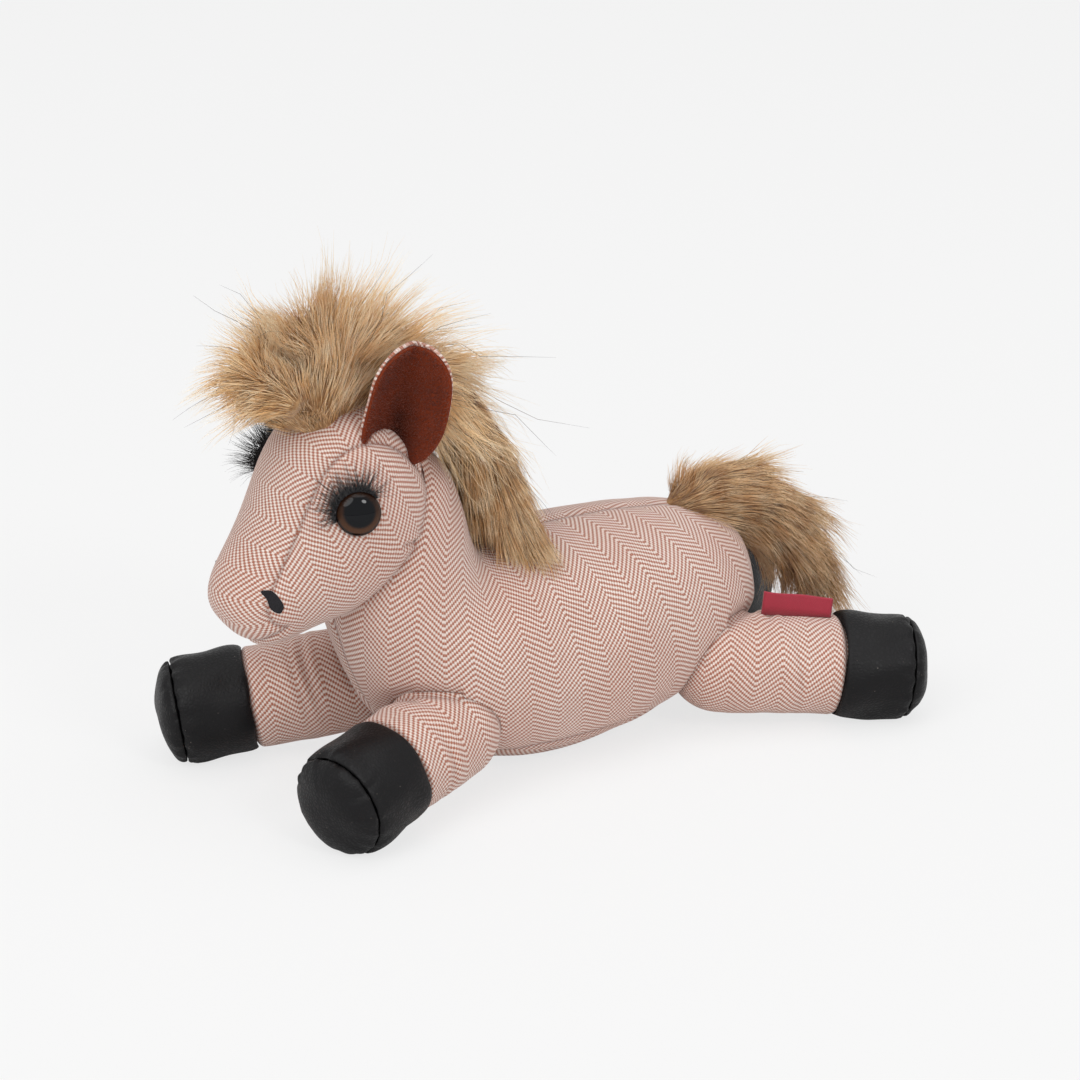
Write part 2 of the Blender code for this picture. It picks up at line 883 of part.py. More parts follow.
# Mane and tail

def make_head_mane():
    rings = []
    for degrees, inner, outer, wide in mane_ring_shares:
        turn = math.radians(degrees)
        outward = Vector((math.cos(turn), 0, math.sin(turn)))
        low = inner * mane_top_radius
        high = outer * mane_top_radius
        rings.append(cage_ring(outward * (low + high) / 2, outward, side_axis, (high - low) / 2, wide * mane_width))
    mane = place("head_mane", loft_mesh("head_mane", rings), fur, head_frame)
    soften(mane, 1)
    trim = turned_copy("mane_trim", head_mesh, "Y", 0, head_frame, Matrix(), seam_gap)
    cut(mane, trim, *ear_sweeps)


def make_neck_mane():
    rings = []
    for along, aside, height, lean, deep, wide in neck_mane_ring_shares:
        centre = Vector((along * body_length, aside * body_width, height * body_height))
        up = Vector((math.sin(math.radians(lean)), 0, math.cos(math.radians(lean))))
        rings.append(cage_ring(centre, up, side_axis, deep * neck_mane_depth, wide * neck_mane_width))
    mane = place("neck_mane", loft_mesh("neck_mane", rings), fur)
    soften(mane, 1)
    cut(mane, body_form, neck_socket)


def make_tail():
    rings = []
    for along, drop, thick, wide in tail_ring_shares:
        centre = Vector((along * tail_length, 0, drop * tail_length))
        lean = math.radians(90) * max(0, -drop)
        up = Vector((math.sin(lean), 0, math.cos(lean)))
        rings.append(cage_ring(centre, up, side_axis, thick * tail_thickness, wide * tail_thickness))
    tail = place("tail", loft_mesh("tail", rings), fur, tail_frame)
    soften(tail, 1)
    root = ball("tail_root", tail_root_radius, tail_root_radius, tail_frame)
    for turn in (-tail_drop, 0, tail_lift):
        trim = turned_copy(
            "tail_trim", body_mesh, "Y", turn, tail_frame, tail_frame.matrix_world.inverted(), swing_gap
        )
        cut(trim, root)
        cut(tail, trim)


make_head_mane()
make_neck_mane()
make_tail()
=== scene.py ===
import math

import bmesh
import bpy
import numpy as np
from mathutils import Matrix, Vector, noise
from mathutils.bvhtree import BVHTree
from mathutils.kdtree import KDTree


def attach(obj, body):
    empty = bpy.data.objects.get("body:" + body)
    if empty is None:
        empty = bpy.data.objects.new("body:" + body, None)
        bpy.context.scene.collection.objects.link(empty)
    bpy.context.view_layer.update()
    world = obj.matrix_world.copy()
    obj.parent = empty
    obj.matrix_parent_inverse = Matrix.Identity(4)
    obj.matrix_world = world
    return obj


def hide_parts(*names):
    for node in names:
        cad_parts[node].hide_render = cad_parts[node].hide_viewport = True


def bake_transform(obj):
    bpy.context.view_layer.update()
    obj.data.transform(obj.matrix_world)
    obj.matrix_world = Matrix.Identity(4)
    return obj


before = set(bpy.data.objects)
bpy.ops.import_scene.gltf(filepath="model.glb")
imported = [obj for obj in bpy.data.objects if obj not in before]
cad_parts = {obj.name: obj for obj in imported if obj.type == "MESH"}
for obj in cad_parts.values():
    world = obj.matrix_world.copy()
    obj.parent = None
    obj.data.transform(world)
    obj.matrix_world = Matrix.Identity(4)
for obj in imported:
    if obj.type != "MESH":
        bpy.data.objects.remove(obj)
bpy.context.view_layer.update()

# A lying plush horse: herringbone cloth sewn over stuffing, leatherette hooves, felt lined ears,
# safety eyes with fur lashes, and a long pile mane and tail. Metres, head towards -X.
scene = bpy.context.scene
sideAxis = Vector((0, 1, 0))
upAxis = Vector((0, 0, 1))
sides = (("left", -1), ("right", 1))


# View and light

camera = {
    "azimuth": -33,                 # degrees round the object
    "elevation": 22,
    "distance": 1.2,
    "fieldOfView": 17.9,
    "target": (0.00125, 0, 0.0763),
}


def headingFrom(azimuth, elevation):
    flat = math.cos(math.radians(elevation))
    turn = math.radians(azimuth)
    return Vector((flat * math.sin(turn), -flat * math.cos(turn), math.sin(math.radians(elevation))))


def addCamera():
    data = bpy.data.cameras.new("studioCamera")
    data.sensor_fit = "HORIZONTAL"
    data.lens = data.sensor_width / 2 / math.tan(math.radians(camera["fieldOfView"]) / 2)
    made = bpy.data.objects.new("studioCamera", data)
    heading = headingFrom(camera["azimuth"], camera["elevation"])
    made.location = Vector(camera["target"]) + heading * camera["distance"]
    made.rotation_euler = heading.to_track_quat("Z", "Y").to_euler()
    scene.collection.objects.link(made)
    scene.camera = made


light = {
    "lamps": (                      # azimuth, elevation, distance, size, watts
        ("softbox", -66, 43, 3.2, 2.2, 38),
        ("frontLamp", 3, 36, 3.2, 0.75, 19),
        ("overhead", 20, 80, 3.2, 2.8, 31),
    ),
    "sky": 0.55,
    "backdrop": (244, 244, 244),
    "floorWidth": 12.0,
    "glow": 0.80,                   # how much of the floor's seen colour ignores the lamps
}


def addLamps():
    for name, azimuth, elevation, distance, size, watts in light["lamps"]:
        data = bpy.data.lights.new(name, "AREA")
        data.shape = "DISK"
        data.size = size
        data.energy = watts
        made = bpy.data.objects.new(name, data)
        heading = headingFrom(azimuth, elevation)
        made.location = Vector(camera["target"]) + heading * distance
        made.rotation_euler = heading.to_track_quat("Z", "Y").to_euler()
        scene.collection.objects.link(made)


# Shader and geometry wiring

class Wire:                         # a node's output that takes part in sums
    def __init__(self, wiring, socket):
        self.wiring = wiring
        self.socket = socket

    def other(self, output):        # another output of the same node
        return Wire(self.wiring, self.socket.node.outputs[output])

    def __add__(self, term):
        return self.wiring.maths("ADD", self, term)

    def __sub__(self, term):
        return self.wiring.maths("SUBTRACT", self, term)

    def __rsub__(self, term):
        return self.wiring.maths("SUBTRACT", term, self)

    def __mul__(self, term):
        return self.wiring.maths("MULTIPLY", self, term)

    def __truediv__(self, term):
        return self.wiring.maths("DIVIDE", self, term)

    def __pow__(self, term):
        return self.wiring.maths("POWER", self, term)

    __radd__ = __add__
    __rmul__ = __mul__


class Wiring:
    def __init__(self, tree):
        self.tree = tree

    def node(self, kind, settings=None, values=None, output=0):
        made = self.tree.nodes.new(kind)
        for key, value in (settings or {}).items():
            if key == "stops":
                self.setStops(made.color_ramp.elements, value)
            else:
                setattr(made, key, value)
        for key, value in (values or {}).items():
            self.plug(value, made.inputs[key])
        return Wire(self, made.outputs[output])

    def plug(self, value, socket):
        if isinstance(value, Wire):
            self.tree.links.new(value.socket, socket)
        else:
            socket.default_value = value

    def setStops(self, elements, stops):
        while len(elements) < len(stops):
            elements.new(1)
        for element, (position, colour) in zip(elements, stops):
            element.position = position
            element.color = colour

    def maths(self, operation, *terms):
        return self.node("ShaderNodeMath", {"operation": operation}, dict(enumerate(terms)))

    def vector(self, operation, *terms):
        return self.node("ShaderNodeVectorMath", {"operation": operation}, dict(enumerate(terms)))

    def scaled(self, vector, factor):
        return self.node("ShaderNodeVectorMath", {"operation": "SCALE"}, {0: vector, "Scale": factor})

    def step(self, value, low, high):               # smooth 0 to 1 between two values
        values = {"Value": value, "From Min": low, "From Max": high}
        return self.node("ShaderNodeMapRange", {"interpolation_type": "SMOOTHSTEP"}, values)

    def split(self, vector):
        first = self.node("ShaderNodeSeparateXYZ", None, {"Vector": vector})
        return first, first.other(1), first.other(2)

    def noise(self, place, scale, detail=2.0, roughness=0.5, output=0):
        values = {"Vector": place, "Scale": scale, "Detail": detail, "Roughness": roughness}
        return self.node("ShaderNodeTexNoise", None, values, output)

    def mix(self, factor, first, second, blend="MIX"):
        settings = {"data_type": "RGBA", "blend_type": blend}
        return self.node("ShaderNodeMix", settings, {0: factor, 6: first, 7: second}, 2)


def linear(red, green, blue):       # a colour as seen on a screen, 0 to 255, made linear
    shares = [channel / 255 for channel in (red, green, blue)]
    return (*[s / 12.92 if s < 0.04045 else ((s + 0.055) / 1.055) ** 2.4 for s in shares], 1)


class Finish(Wiring):
    def __init__(self, name, **uniform):
        self.material = bpy.data.materials.new(name)
        self.material.use_nodes = True
        super().__init__(self.material.node_tree)
        self.shader = self.tree.nodes["Principled BSDF"]
        for key, value in uniform.items():
            self.shader.inputs[key.replace("_", " ")].default_value = value

    def feed(self, socketName, value):
        self.plug(value, self.shader.inputs[socketName])

    def objectPlace(self):
        return self.node("ShaderNodeTexCoord", None, None, "Object")

    def measured(self, name):       # a number kept on the piece's points
        return self.node("ShaderNodeAttribute", {"attribute_name": name}, None, "Fac")

    def relief(self, height, distance):
        self.feed("Normal", self.node("ShaderNodeBump", None, {"Height": height, "Distance": distance}))


# Finishes

cloth = {
    "yarn": 0.00077,                # metres
    "column": 0.0094,
    "pitch": 0.0021,
    "slope": 0.86,
    "relief": 0.00022,
    "pale": (234, 219, 211),
    "between": (203, 169, 155),
    "dot": (171, 104, 80),
}


def makeClothFinish():
    made = Finish(
        "herringboneCloth", Roughness=0.92, Sheen_Weight=0.25, Sheen_Roughness=0.5, Specular_IOR_Level=0.25
    )
    place = made.objectPlace()
    weave = made.node("ShaderNodeUVMap", {"uv_map": "weave"})
    along, down, _ = made.split(weave)
    wander = (made.noise(place, 180.0, 1.0) - 0.5) * 0.0005
    along = along + wander
    yarns = (along + 10) / cloth["yarn"]
    across = made.maths("FRACT", yarns)
    middle = (made.maths("FLOOR", yarns) + 0.5) * cloth["yarn"]
    zigzag = made.maths("PINGPONG", middle, cloth["column"]) * cloth["slope"]
    row = made.maths("FRACT", (down + zigzag + wander + 10) / cloth["pitch"])
    hump = 1 - (across * 2 - 1) ** 2                           # the round of one yarn
    dotRise = 1 - made.step(made.maths("ABSOLUTE", row - 0.25), 0.10, 0.27)
    paleRise = 1 - made.step(made.maths("ABSOLUTE", row - 0.75), 0.13, 0.30)
    dot = dotRise * made.step(hump, 0.0, 0.66)
    pale = paleRise * made.step(hump, 0.0, 0.35)
    mottle = made.noise(place, 900.0, 2.0)
    base = made.mix(pale * (0.45 + mottle * 1.1), linear(*cloth["between"]), linear(*cloth["pale"]))
    coloured = made.mix(dot * (0.70 + mottle * 0.5), base, linear(*cloth["dot"]))
    broad = made.noise(place, 26.0, 2.0)
    tinted = made.mix(made.step(broad, 0.35, 0.7) * 0.25, coloured, linear(232, 206, 196), "MULTIPLY")
    seam = made.measured("seamDistance")
    shadow = 1 - made.step(seam, 0.0001, 0.0013)
    # painted shade in creases, folds and where covers meet darkens the cloth, beside the painted shadow in the
    # seam grooves
    crease = made.measured("crease")
    dark = made.mix(shadow * 0.40 + crease * 0.30, tinted, linear(96, 52, 42))
    made.feed("Base Color", dark)
    fuzz = made.noise(place, 2600.0, 2.0)
    height = made.maths("MAXIMUM", dot, pale * 0.85) * 0.8 + fuzz * 0.25 - shadow * 0.8
    made.relief(height, cloth["relief"])
    return made.material


hide = {
    "colour": (9, 8, 10),
    "worn": (20, 18, 21),
    "grain": 700.0,
    "relief": 0.00008,
}


def makeHideFinish():
    made = Finish("blackLeatherette", Specular_IOR_Level=0.2)
    place = made.objectPlace()
    values = {"Vector": place, "Scale": hide["grain"]}
    cells = made.node("ShaderNodeTexVoronoi", {"feature": "DISTANCE_TO_EDGE"}, values)
    pebble = made.step(cells, 0.0, 0.28)
    wear = made.noise(place, 70.0, 4.0, 0.6)
    fine = made.noise(place, 2400.0, 2.0)
    dust = made.step(made.noise(place, 1300.0, 0.0), 0.84, 0.90)
    edge = 1 - made.step(made.measured("seamDistance"), 0.0002, 0.0016)
    base = made.mix(made.step(wear, 0.45, 0.8) * 0.5, linear(*hide["colour"]), linear(*hide["worn"]))
    pits = made.mix((1 - pebble) * 0.6 + edge * 0.4, base, linear(9, 8, 9))
    made.feed("Base Color", made.mix(dust * 0.4, pits, linear(150, 140, 132)))
    made.feed("Roughness", 0.34 + wear * 0.14 + (1 - pebble) * 0.12)
    made.relief(pebble * 0.7 + fine * 0.2 + wear * 0.5 - edge * 1.5, hide["relief"])
    return made.material


def makeFeltFinish():
    made = Finish("brownFelt", Roughness=0.97, Specular_IOR_Level=0.1)
    place = made.objectPlace()
    broad = made.noise(place, 140.0, 3.0, 0.6)
    fine = made.noise(place, 1800.0, 3.0, 0.7)
    base = made.mix(broad, linear(94, 36, 18), linear(130, 53, 28))
    felted = made.mix(made.step(fine, 0.35, 0.75) * 0.5, base, linear(150, 70, 42))
    # painted shade in the ear's fold darkens the felt
    made.feed("Base Color", made.mix(made.measured("crease") * 0.95, felted, linear(30, 10, 6)))
    made.relief(fine + broad * 0.8, 0.0004)
    return made.material


def makeFurFinish(name, root, middle, tip, shades):
    made = Finish(name, Roughness=0.62, Sheen_Weight=0.2, Specular_IOR_Level=0.3)
    along = made.measured("along")
    shade = made.measured("shade")
    # colour from root to tip; the darker roots of the tan furs are painted shade deep in the pile
    lower = made.mix(made.step(along, 0.0, 0.55), linear(*root), linear(*middle))
    whole = made.mix(made.step(along, 0.45, 1.0), lower, linear(*tip))
    streak = made.noise(made.objectPlace(), 130.0, 2.0)
    factor = shade * 0.5 + made.step(streak, 0.35, 0.65) * 0.5
    made.feed("Base Color", made.mix(factor, whole, linear(*shades), "MULTIPLY"))
    return made.material


def makeCoreFinish():                # the dense pile under the loose hair
    made = Finish("furPile", Roughness=0.85, Sheen_Weight=0.25, Specular_IOR_Level=0.2)
    place = made.objectPlace()
    streak = made.noise(place, 420.0, 3.0, 0.6)
    broad = made.noise(place, 90.0, 2.0)
    base = made.mix(made.step(streak, 0.3, 0.7), linear(150, 112, 72), linear(212, 172, 124))
    made.feed("Base Color", made.mix(broad * 0.6, base, linear(120, 90, 66), "MULTIPLY"))
    made.relief(streak, 0.0008)
    return made.material


def makeBlackPileFinish():
    made = Finish("blackPile", Roughness=0.8, Specular_IOR_Level=0.25)
    fine = made.noise(made.objectPlace(), 1900.0, 3.0, 0.65)
    made.feed("Base Color", made.mix(fine, linear(10, 10, 12), linear(44, 42, 46)))
    made.relief(fine, 0.0003)
    return made.material


iris = {
    "pupil": 0.62,                  # share of the eye's radius
    "ring": 0.80,
    "rim": 0.90,
}


def makeEyeFinish():
    made = Finish(
        "glossyEye", Roughness=0.35, Coat_Weight=0.7, Coat_IOR=1.36, Coat_Roughness=0.02, Specular_IOR_Level=0.0
    )
    reach = made.measured("reach")
    place = made.objectPlace()
    grain = made.noise(place, 900.0, 2.0)
    # painted shade at the top of the iris and painted light towards its bottom, as light from above through the
    # clear dome would fall
    height = made.measured("lowness")
    brown = made.mix(made.step(height, 0.15, 0.95), linear(12, 8, 6), linear(76, 48, 28))
    speckled = made.mix(grain * 0.5, brown, linear(70, 36, 16))
    ringed = made.mix(1 - made.step(reach, iris["pupil"], iris["ring"]), speckled, linear(2, 3, 7))
    made.feed("Base Color", made.mix(made.step(reach, iris["rim"], 1.02), ringed, linear(10, 6, 5)))
    return made.material


def makeWasherFinish():
    made = Finish("washerPlastic", Specular_IOR_Level=0.5)
    mottle = made.noise(made.objectPlace(), 500.0, 3.0)
    made.feed("Base Color", made.mix(mottle, linear(214, 214, 208), linear(232, 232, 228)))
    made.feed("Roughness", 0.35 + mottle * 0.2)
    made.relief(mottle, 0.00003)
    return made.material


def makeRibbonFinish():
    made = Finish("crimsonRibbon", Roughness=0.62, Sheen_Weight=0.2)
    weave = made.node("ShaderNodeUVMap", {"uv_map": "weave"})
    along, down, _ = made.split(weave)
    warp = made.maths("SINE", along * (math.tau / 0.00036))
    weft = made.maths("SINE", down * (math.tau / 0.00028))
    rib = warp * weft * 0.5 + 0.5
    broad = made.noise(made.objectPlace(), 220.0, 2.0)
    base = made.mix(rib, linear(128, 14, 36), linear(188, 38, 64))
    made.feed("Base Color", made.mix(broad * 0.5, base, linear(150, 20, 44)))
    made.relief(rib, 0.00006)
    return made.material


clothFinish = makeClothFinish()
hideFinish = makeHideFinish()
feltFinish = makeFeltFinish()
coreFinish = makeCoreFinish()
blackPileFinish = makeBlackPileFinish()
eyeFinish = makeEyeFinish()
washerFinish = makeWasherFinish()
ribbonFinish = makeRibbonFinish()
# the tan furs' darker roots are painted shade deep in the pile
furFinish = makeFurFinish("tanFur", (172, 130, 86), (255, 226, 180), (255, 248, 226), (238, 208, 168))
deepFurFinish = makeFurFinish("deepTanFur", (136, 98, 62), (238, 204, 156), (250, 232, 200), (206, 168, 126))
guardFinish = makeFurFinish("guardHair", (190, 154, 112), (120, 92, 70), (30, 24, 22), (150, 130, 116))
fuzzFinish = makeFurFinish("feltFuzz", (84, 32, 16), (136, 58, 32), (164, 80, 50), (170, 150, 140))
lashFinish = makeFurFinish("lashHair", (12, 12, 14), (16, 16, 18), (26, 24, 26), (150, 150, 160))
print("finishes made")


# Meshes

def addPiece(name, mesh, finish):
    made = bpy.data.objects.new(name, mesh)
    mesh.materials.clear()
    mesh.materials.append(finish)
    for polygon in mesh.polygons:
        polygon.use_smooth = True
    scene.collection.objects.link(made)
    return made


def hosted(mesh, name="host"):
    host = bpy.data.objects.new(name, mesh)
    scene.collection.objects.link(host)
    return host


def evaluated(obj):                 # the plain mesh of an object with its modifiers, which is then removed
    graph = bpy.context.evaluated_depsgraph_get()
    mesh = bpy.data.meshes.new_from_object(obj.evaluated_get(graph))
    bpy.data.objects.remove(obj, do_unlink=True)
    return mesh


def withModifiers(mesh, *kinds):    # (kind, settings) pairs
    host = hosted(mesh)
    for kind, settings in kinds:
        modifier = host.modifiers.new(kind.lower(), kind)
        for key, value in settings.items():
            setattr(modifier, key, value)
    return evaluated(host)


def subdivided(mesh, level):
    return withModifiers(mesh, ("SUBSURF", {"levels": level, "render_levels": level}))


def pointsOf(mesh):
    found = np.empty(len(mesh.vertices) * 3)
    mesh.vertices.foreach_get("co", found)
    return found.reshape(-1, 3)


def normalsOf(mesh):
    found = np.empty(len(mesh.vertices) * 3, np.float32)
    mesh.vertex_normals.foreach_get("vector", found)
    return found.reshape(-1, 3).astype(float)


def setPoints(mesh, points):
    mesh.vertices.foreach_set("co", points.ravel())
    mesh.update()


def keepMeasure(mesh, name, values, kind="FLOAT"):
    attribute = mesh.attributes.get(name) or mesh.attributes.new(name, kind, "POINT")
    field = "vector" if kind == "FLOAT_VECTOR" else "value"
    attribute.data.foreach_set(field, np.asarray(values, np.float32).ravel())


def builtMesh(name, builder, recalculate=True):
    if recalculate:
        bmesh.ops.recalc_face_normals(builder, faces=builder.faces)
    mesh = bpy.data.meshes.new(name)
    builder.to_mesh(mesh)
    builder.free()
    return mesh


def skinned(builder, rows, wraps=True, joined=False):   # faces over rows of points, each with its places
    pairs = list(zip(range(len(rows)), range(1, len(rows))))
    if joined:
        pairs.append((len(rows) - 1, 0))
    for upper, lower in pairs:
        for index in range(max(map(len, rows)) - (not wraps)):
            corners = {}
            for row, place in ((upper, index), (upper, index + 1), (lower, index + 1), (lower, index)):
                corners.setdefault(rows[row][place % len(rows[row])], (row, place))
            yield builder.faces.new(tuple(corners)), corners.values()


def loft(name, rings):
    builder = bmesh.new()
    rows = [[builder.verts.new(point) for point in ring] for ring in rings]
    for _ in skinned(builder, rows):
        pass
    builder.faces.new(rows[0][::-1])
    builder.faces.new(rows[-1])
    return builtMesh(name, builder)


def leaning(degrees):
    return Vector((math.sin(math.radians(degrees)), 0, math.cos(math.radians(degrees))))


def cageRing(centre, up, side, halfHeight, halfWidth):
    points = 6
    swell = 3 / (2 + math.cos(math.tau / points))   # makes up for what subdivision draws in
    turns = [math.tau * index / points for index in range(points)]
    return [
        centre + swell * (up * halfHeight * math.cos(turn) + side * halfWidth * math.sin(turn))
        for turn in turns
    ]


def fromLines(mesh, lines, spacing=0.0002):         # each point's distance to the nearest of some lines
    samples = []
    for first, second in lines:
        count = max(1, int((second - first).length / spacing))
        samples += [first.lerp(second, index / count) for index in range(count + 1)]
    tree = KDTree(len(samples))
    for index, sample in enumerate(samples):
        tree.insert(sample, index)
    tree.balance()
    return np.array([tree.find(vertex.co)[2] for vertex in mesh.vertices])


def pathLines(points):
    return list(zip(points, points[1:]))


def lumps(points, size, seed):      # smooth noise from -1 to 1 over some points
    shift = Vector((seed * 17.3, seed * 5.1, seed * 9.7))
    return np.array([noise.noise(Vector(point) / size + shift) for point in points])


def lengthsOf(vectors):
    return np.linalg.norm(vectors, axis=1)


def unit(vectors):
    return vectors / np.maximum(lengthsOf(vectors), 1e-9)[:, None]


def ramp(values, start, width):     # 0 up to the start, 1 from a width further on
    return np.clip((values - start) / width, 0, 1)


def bell(values, width):
    return np.exp(-((values / width) ** 2))


foldShade = 0.0011                  # how wide a fold between two covers looks dark


# Sewn covers: a smooth form cut into panels, each laid flat to run the weave over it

def layFlat(mesh):
    host = hosted(mesh)
    for other in list(bpy.context.selected_objects):
        other.select_set(False)
    bpy.context.view_layer.objects.active = host
    host.select_set(True)
    bpy.ops.object.mode_set(mode="EDIT")
    bpy.ops.mesh.select_all(action="SELECT")
    bpy.ops.uv.unwrap(method="MINIMUM_STRETCH", fill_holes=True, margin=0.01)
    bpy.ops.object.mode_set(mode="OBJECT")
    bpy.data.objects.remove(host, do_unlink=True)


def runGrain(mesh, panelOfFace, grains):            # real size, and the herringbone's spines along the grain
    layer = mesh.uv_layers["weave"]
    flat = np.empty(len(layer.data) * 2, np.float32)
    layer.data.foreach_get("uv", flat)
    flat = flat.reshape(-1, 2).astype(float)
    points = pointsOf(mesh)
    corner = np.array([loop.vertex_index for loop in mesh.loops])
    starts = np.array([polygon.loop_start for polygon in mesh.polygons])
    totals = np.array([polygon.loop_total for polygon in mesh.polygons])
    for panel, grain in grains.items():
        chosen = np.flatnonzero(panelOfFace == panel)
        first = starts[chosen]
        edgeA = points[corner[first + 1]] - points[corner[first]]
        edgeB = points[corner[first + 2]] - points[corner[first]]
        flatA = flat[first + 1] - flat[first]
        flatB = flat[first + 2] - flat[first]
        area = np.linalg.norm(np.cross(edgeA, edgeB), axis=1)
        flatArea = np.abs(flatA[:, 0] * flatB[:, 1] - flatA[:, 1] * flatB[:, 0])
        size = math.sqrt(area.sum() / flatArea.sum())
        aa = (edgeA * edgeA).sum(1)
        bb = (edgeB * edgeB).sum(1)
        ab = (edgeA * edgeB).sum(1)
        alongA = edgeA @ np.array(grain)
        alongB = edgeB @ np.array(grain)
        spread = np.maximum(aa * bb - ab * ab, 1e-18)
        shareA = (alongA * bb - alongB * ab) / spread
        shareB = (alongB * aa - alongA * ab) / spread
        heading = ((shareA[:, None] * flatA + shareB[:, None] * flatB) * area[:, None]).sum(0)
        turn = math.pi / 2 - math.atan2(heading[1], heading[0])
        cosine, sine = math.cos(turn) * size, math.sin(turn) * size
        corners = np.concatenate([np.arange(s, s + t) for s, t in zip(starts[chosen], totals[chosen])])
        u, v = (flat[corners] - flat[corners].mean(0)).T
        flat[corners] = np.stack([u * cosine - v * sine, u * sine + v * cosine], 1)
    layer.data.foreach_set("uv", flat.astype(np.float32).ravel())


def sewnForm(cage, level, cuts, panelOf, grains):
    smooth = subdivided(cage, level)
    builder = bmesh.new()
    builder.from_mesh(smooth)
    for point, normal, inside in cuts:
        faces = [face for face in builder.faces if inside(face.calc_center_median())]
        edges = {edge for face in faces for edge in face.edges}
        corners = {vertex for face in faces for vertex in face.verts}
        bmesh.ops.bisect_plane(
            builder, geom=[*corners, *edges, *faces], plane_co=point, plane_no=normal, dist=0.00002
        )
    builder.faces.ensure_lookup_table()
    panels = [panelOf(face.calc_center_median()) for face in builder.faces]
    seams = []
    for edge in builder.edges:
        joined = {panels[face.index] for face in edge.link_faces}
        edge.seam = len(joined) > 1
        if edge.seam:
            seams.append((edge.verts[0].co.copy(), edge.verts[1].co.copy()))
    mesh = builtMesh("sewn", builder, False)
    mesh.uv_layers.new(name="weave")
    layFlat(mesh)
    runGrain(mesh, np.array(panels), grains)
    return subdivided(mesh, 1), seams


def carve(mesh, seams, depth, width, creases=()):   # seam grooves, creases as (points, depth, width)
    distance = fromLines(mesh, seams)
    offset = -depth * bell(distance, width)
    dark = np.zeros(len(mesh.vertices))
    for path, creaseDepth, creaseWidth in creases:
        nearness = fromLines(mesh, pathLines([Vector(point) for point in path]))
        offset -= creaseDepth * bell(nearness, creaseWidth)
        offset += creaseDepth * 0.35 * bell(nearness - creaseWidth * 2, creaseWidth)
        # painted shade along each crease
        dark = np.maximum(dark, bell(nearness, creaseWidth * 0.45))
    keepMeasure(mesh, "seamDistance", distance)
    keepMeasure(mesh, "crease", dark)
    return offset


def drawnIn(mesh, other, depth, width):             # the fold where one stuffed cover meets another, with painted shade along it
    nearness = np.array([other.find_nearest(vertex.co)[3] for vertex in mesh.vertices])
    # painted shade along the fold, kept with any painted shade already there
    dark = bell(nearness, foldShade)
    held = mesh.attributes.get("crease")
    if held:
        before = np.empty(len(mesh.vertices), np.float32)
        held.data.foreach_get("value", before)
        dark = np.maximum(dark, before)
    keepMeasure(mesh, "crease", dark)
    return -depth * bell(nearness, width)


def treeOf(mesh):
    return BVHTree.FromPolygons(
        [vertex.co for vertex in mesh.vertices], [list(polygon.vertices) for polygon in mesh.polygons]
    )


def shaped(mesh, offset):
    setPoints(mesh, pointsOf(mesh) + normalsOf(mesh) * offset[:, None])


def onFloor(mesh, height=0.0):
    points = pointsOf(mesh)
    points[:, 2] = np.maximum(points[:, 2], height)
    setPoints(mesh, points)


def takeAway(mesh, *tools):         # booleans with closed meshes
    host = hosted(mesh)
    holders = []
    for tool in tools:
        holder = hosted(tool, "tool")
        holders.append(holder)
        modifier = host.modifiers.new("cut", "BOOLEAN")
        modifier.operation = "DIFFERENCE"
        modifier.solver = "EXACT"
        modifier.object = holder
    result = evaluated(host)
    for holder in holders:
        bpy.data.objects.remove(holder, do_unlink=True)
    return result


# Body

body = {
    "length": 0.170,
    "height": 0.084,
    "width": 0.080,
    "restDepth": 0.0005,
    "bellySeam": 0.012,
    "seamDepth": 0.0010,
    "seamWidth": 0.0022,
    "lumpSize": 0.030,
    "lumpHeight": 0.0009,
    "headRoom": 0.0010,
    "headFold": (0.0005, 0.0024),   # depth, width
    "legFold": (0.0020, 0.0032),
    "rings": (                      # along, height, lean, half height, half width, as shares of the sizes
        (0.512, 0.545, 0, 0.150, 0.140),
        (0.462, 0.545, 0, 0.330, 0.310),
        (0.318, 0.535, 0, 0.430, 0.440),
        (0.129, 0.505, 0, 0.497, 0.500),
        (-0.082, 0.491, 0, 0.509, 0.505),
        (-0.247, 0.568, 25, 0.480, 0.490),
        (-0.325, 0.780, 55, 0.365, 0.400),
        (-0.352, 1.080, 76, 0.325, 0.345),
        (-0.372, 1.360, 82, 0.290, 0.300),
        (-0.380, 1.500, 85, 0.140, 0.140),
    ),
}


def bodyCage():
    rings = []
    for along, height, lean, high, wide in body["rings"]:
        centre = Vector((along * body["length"], 0, height * body["height"] - body["restDepth"]))
        rings.append(cageRing(centre, leaning(lean), sideAxis, high * body["height"], wide * body["width"]))
    return loft("bodyCage", rings)


def bodyPanel(point):
    if point.z < body["bellySeam"]:
        return 0
    return 1 if point.y < 0 else 2


# Head

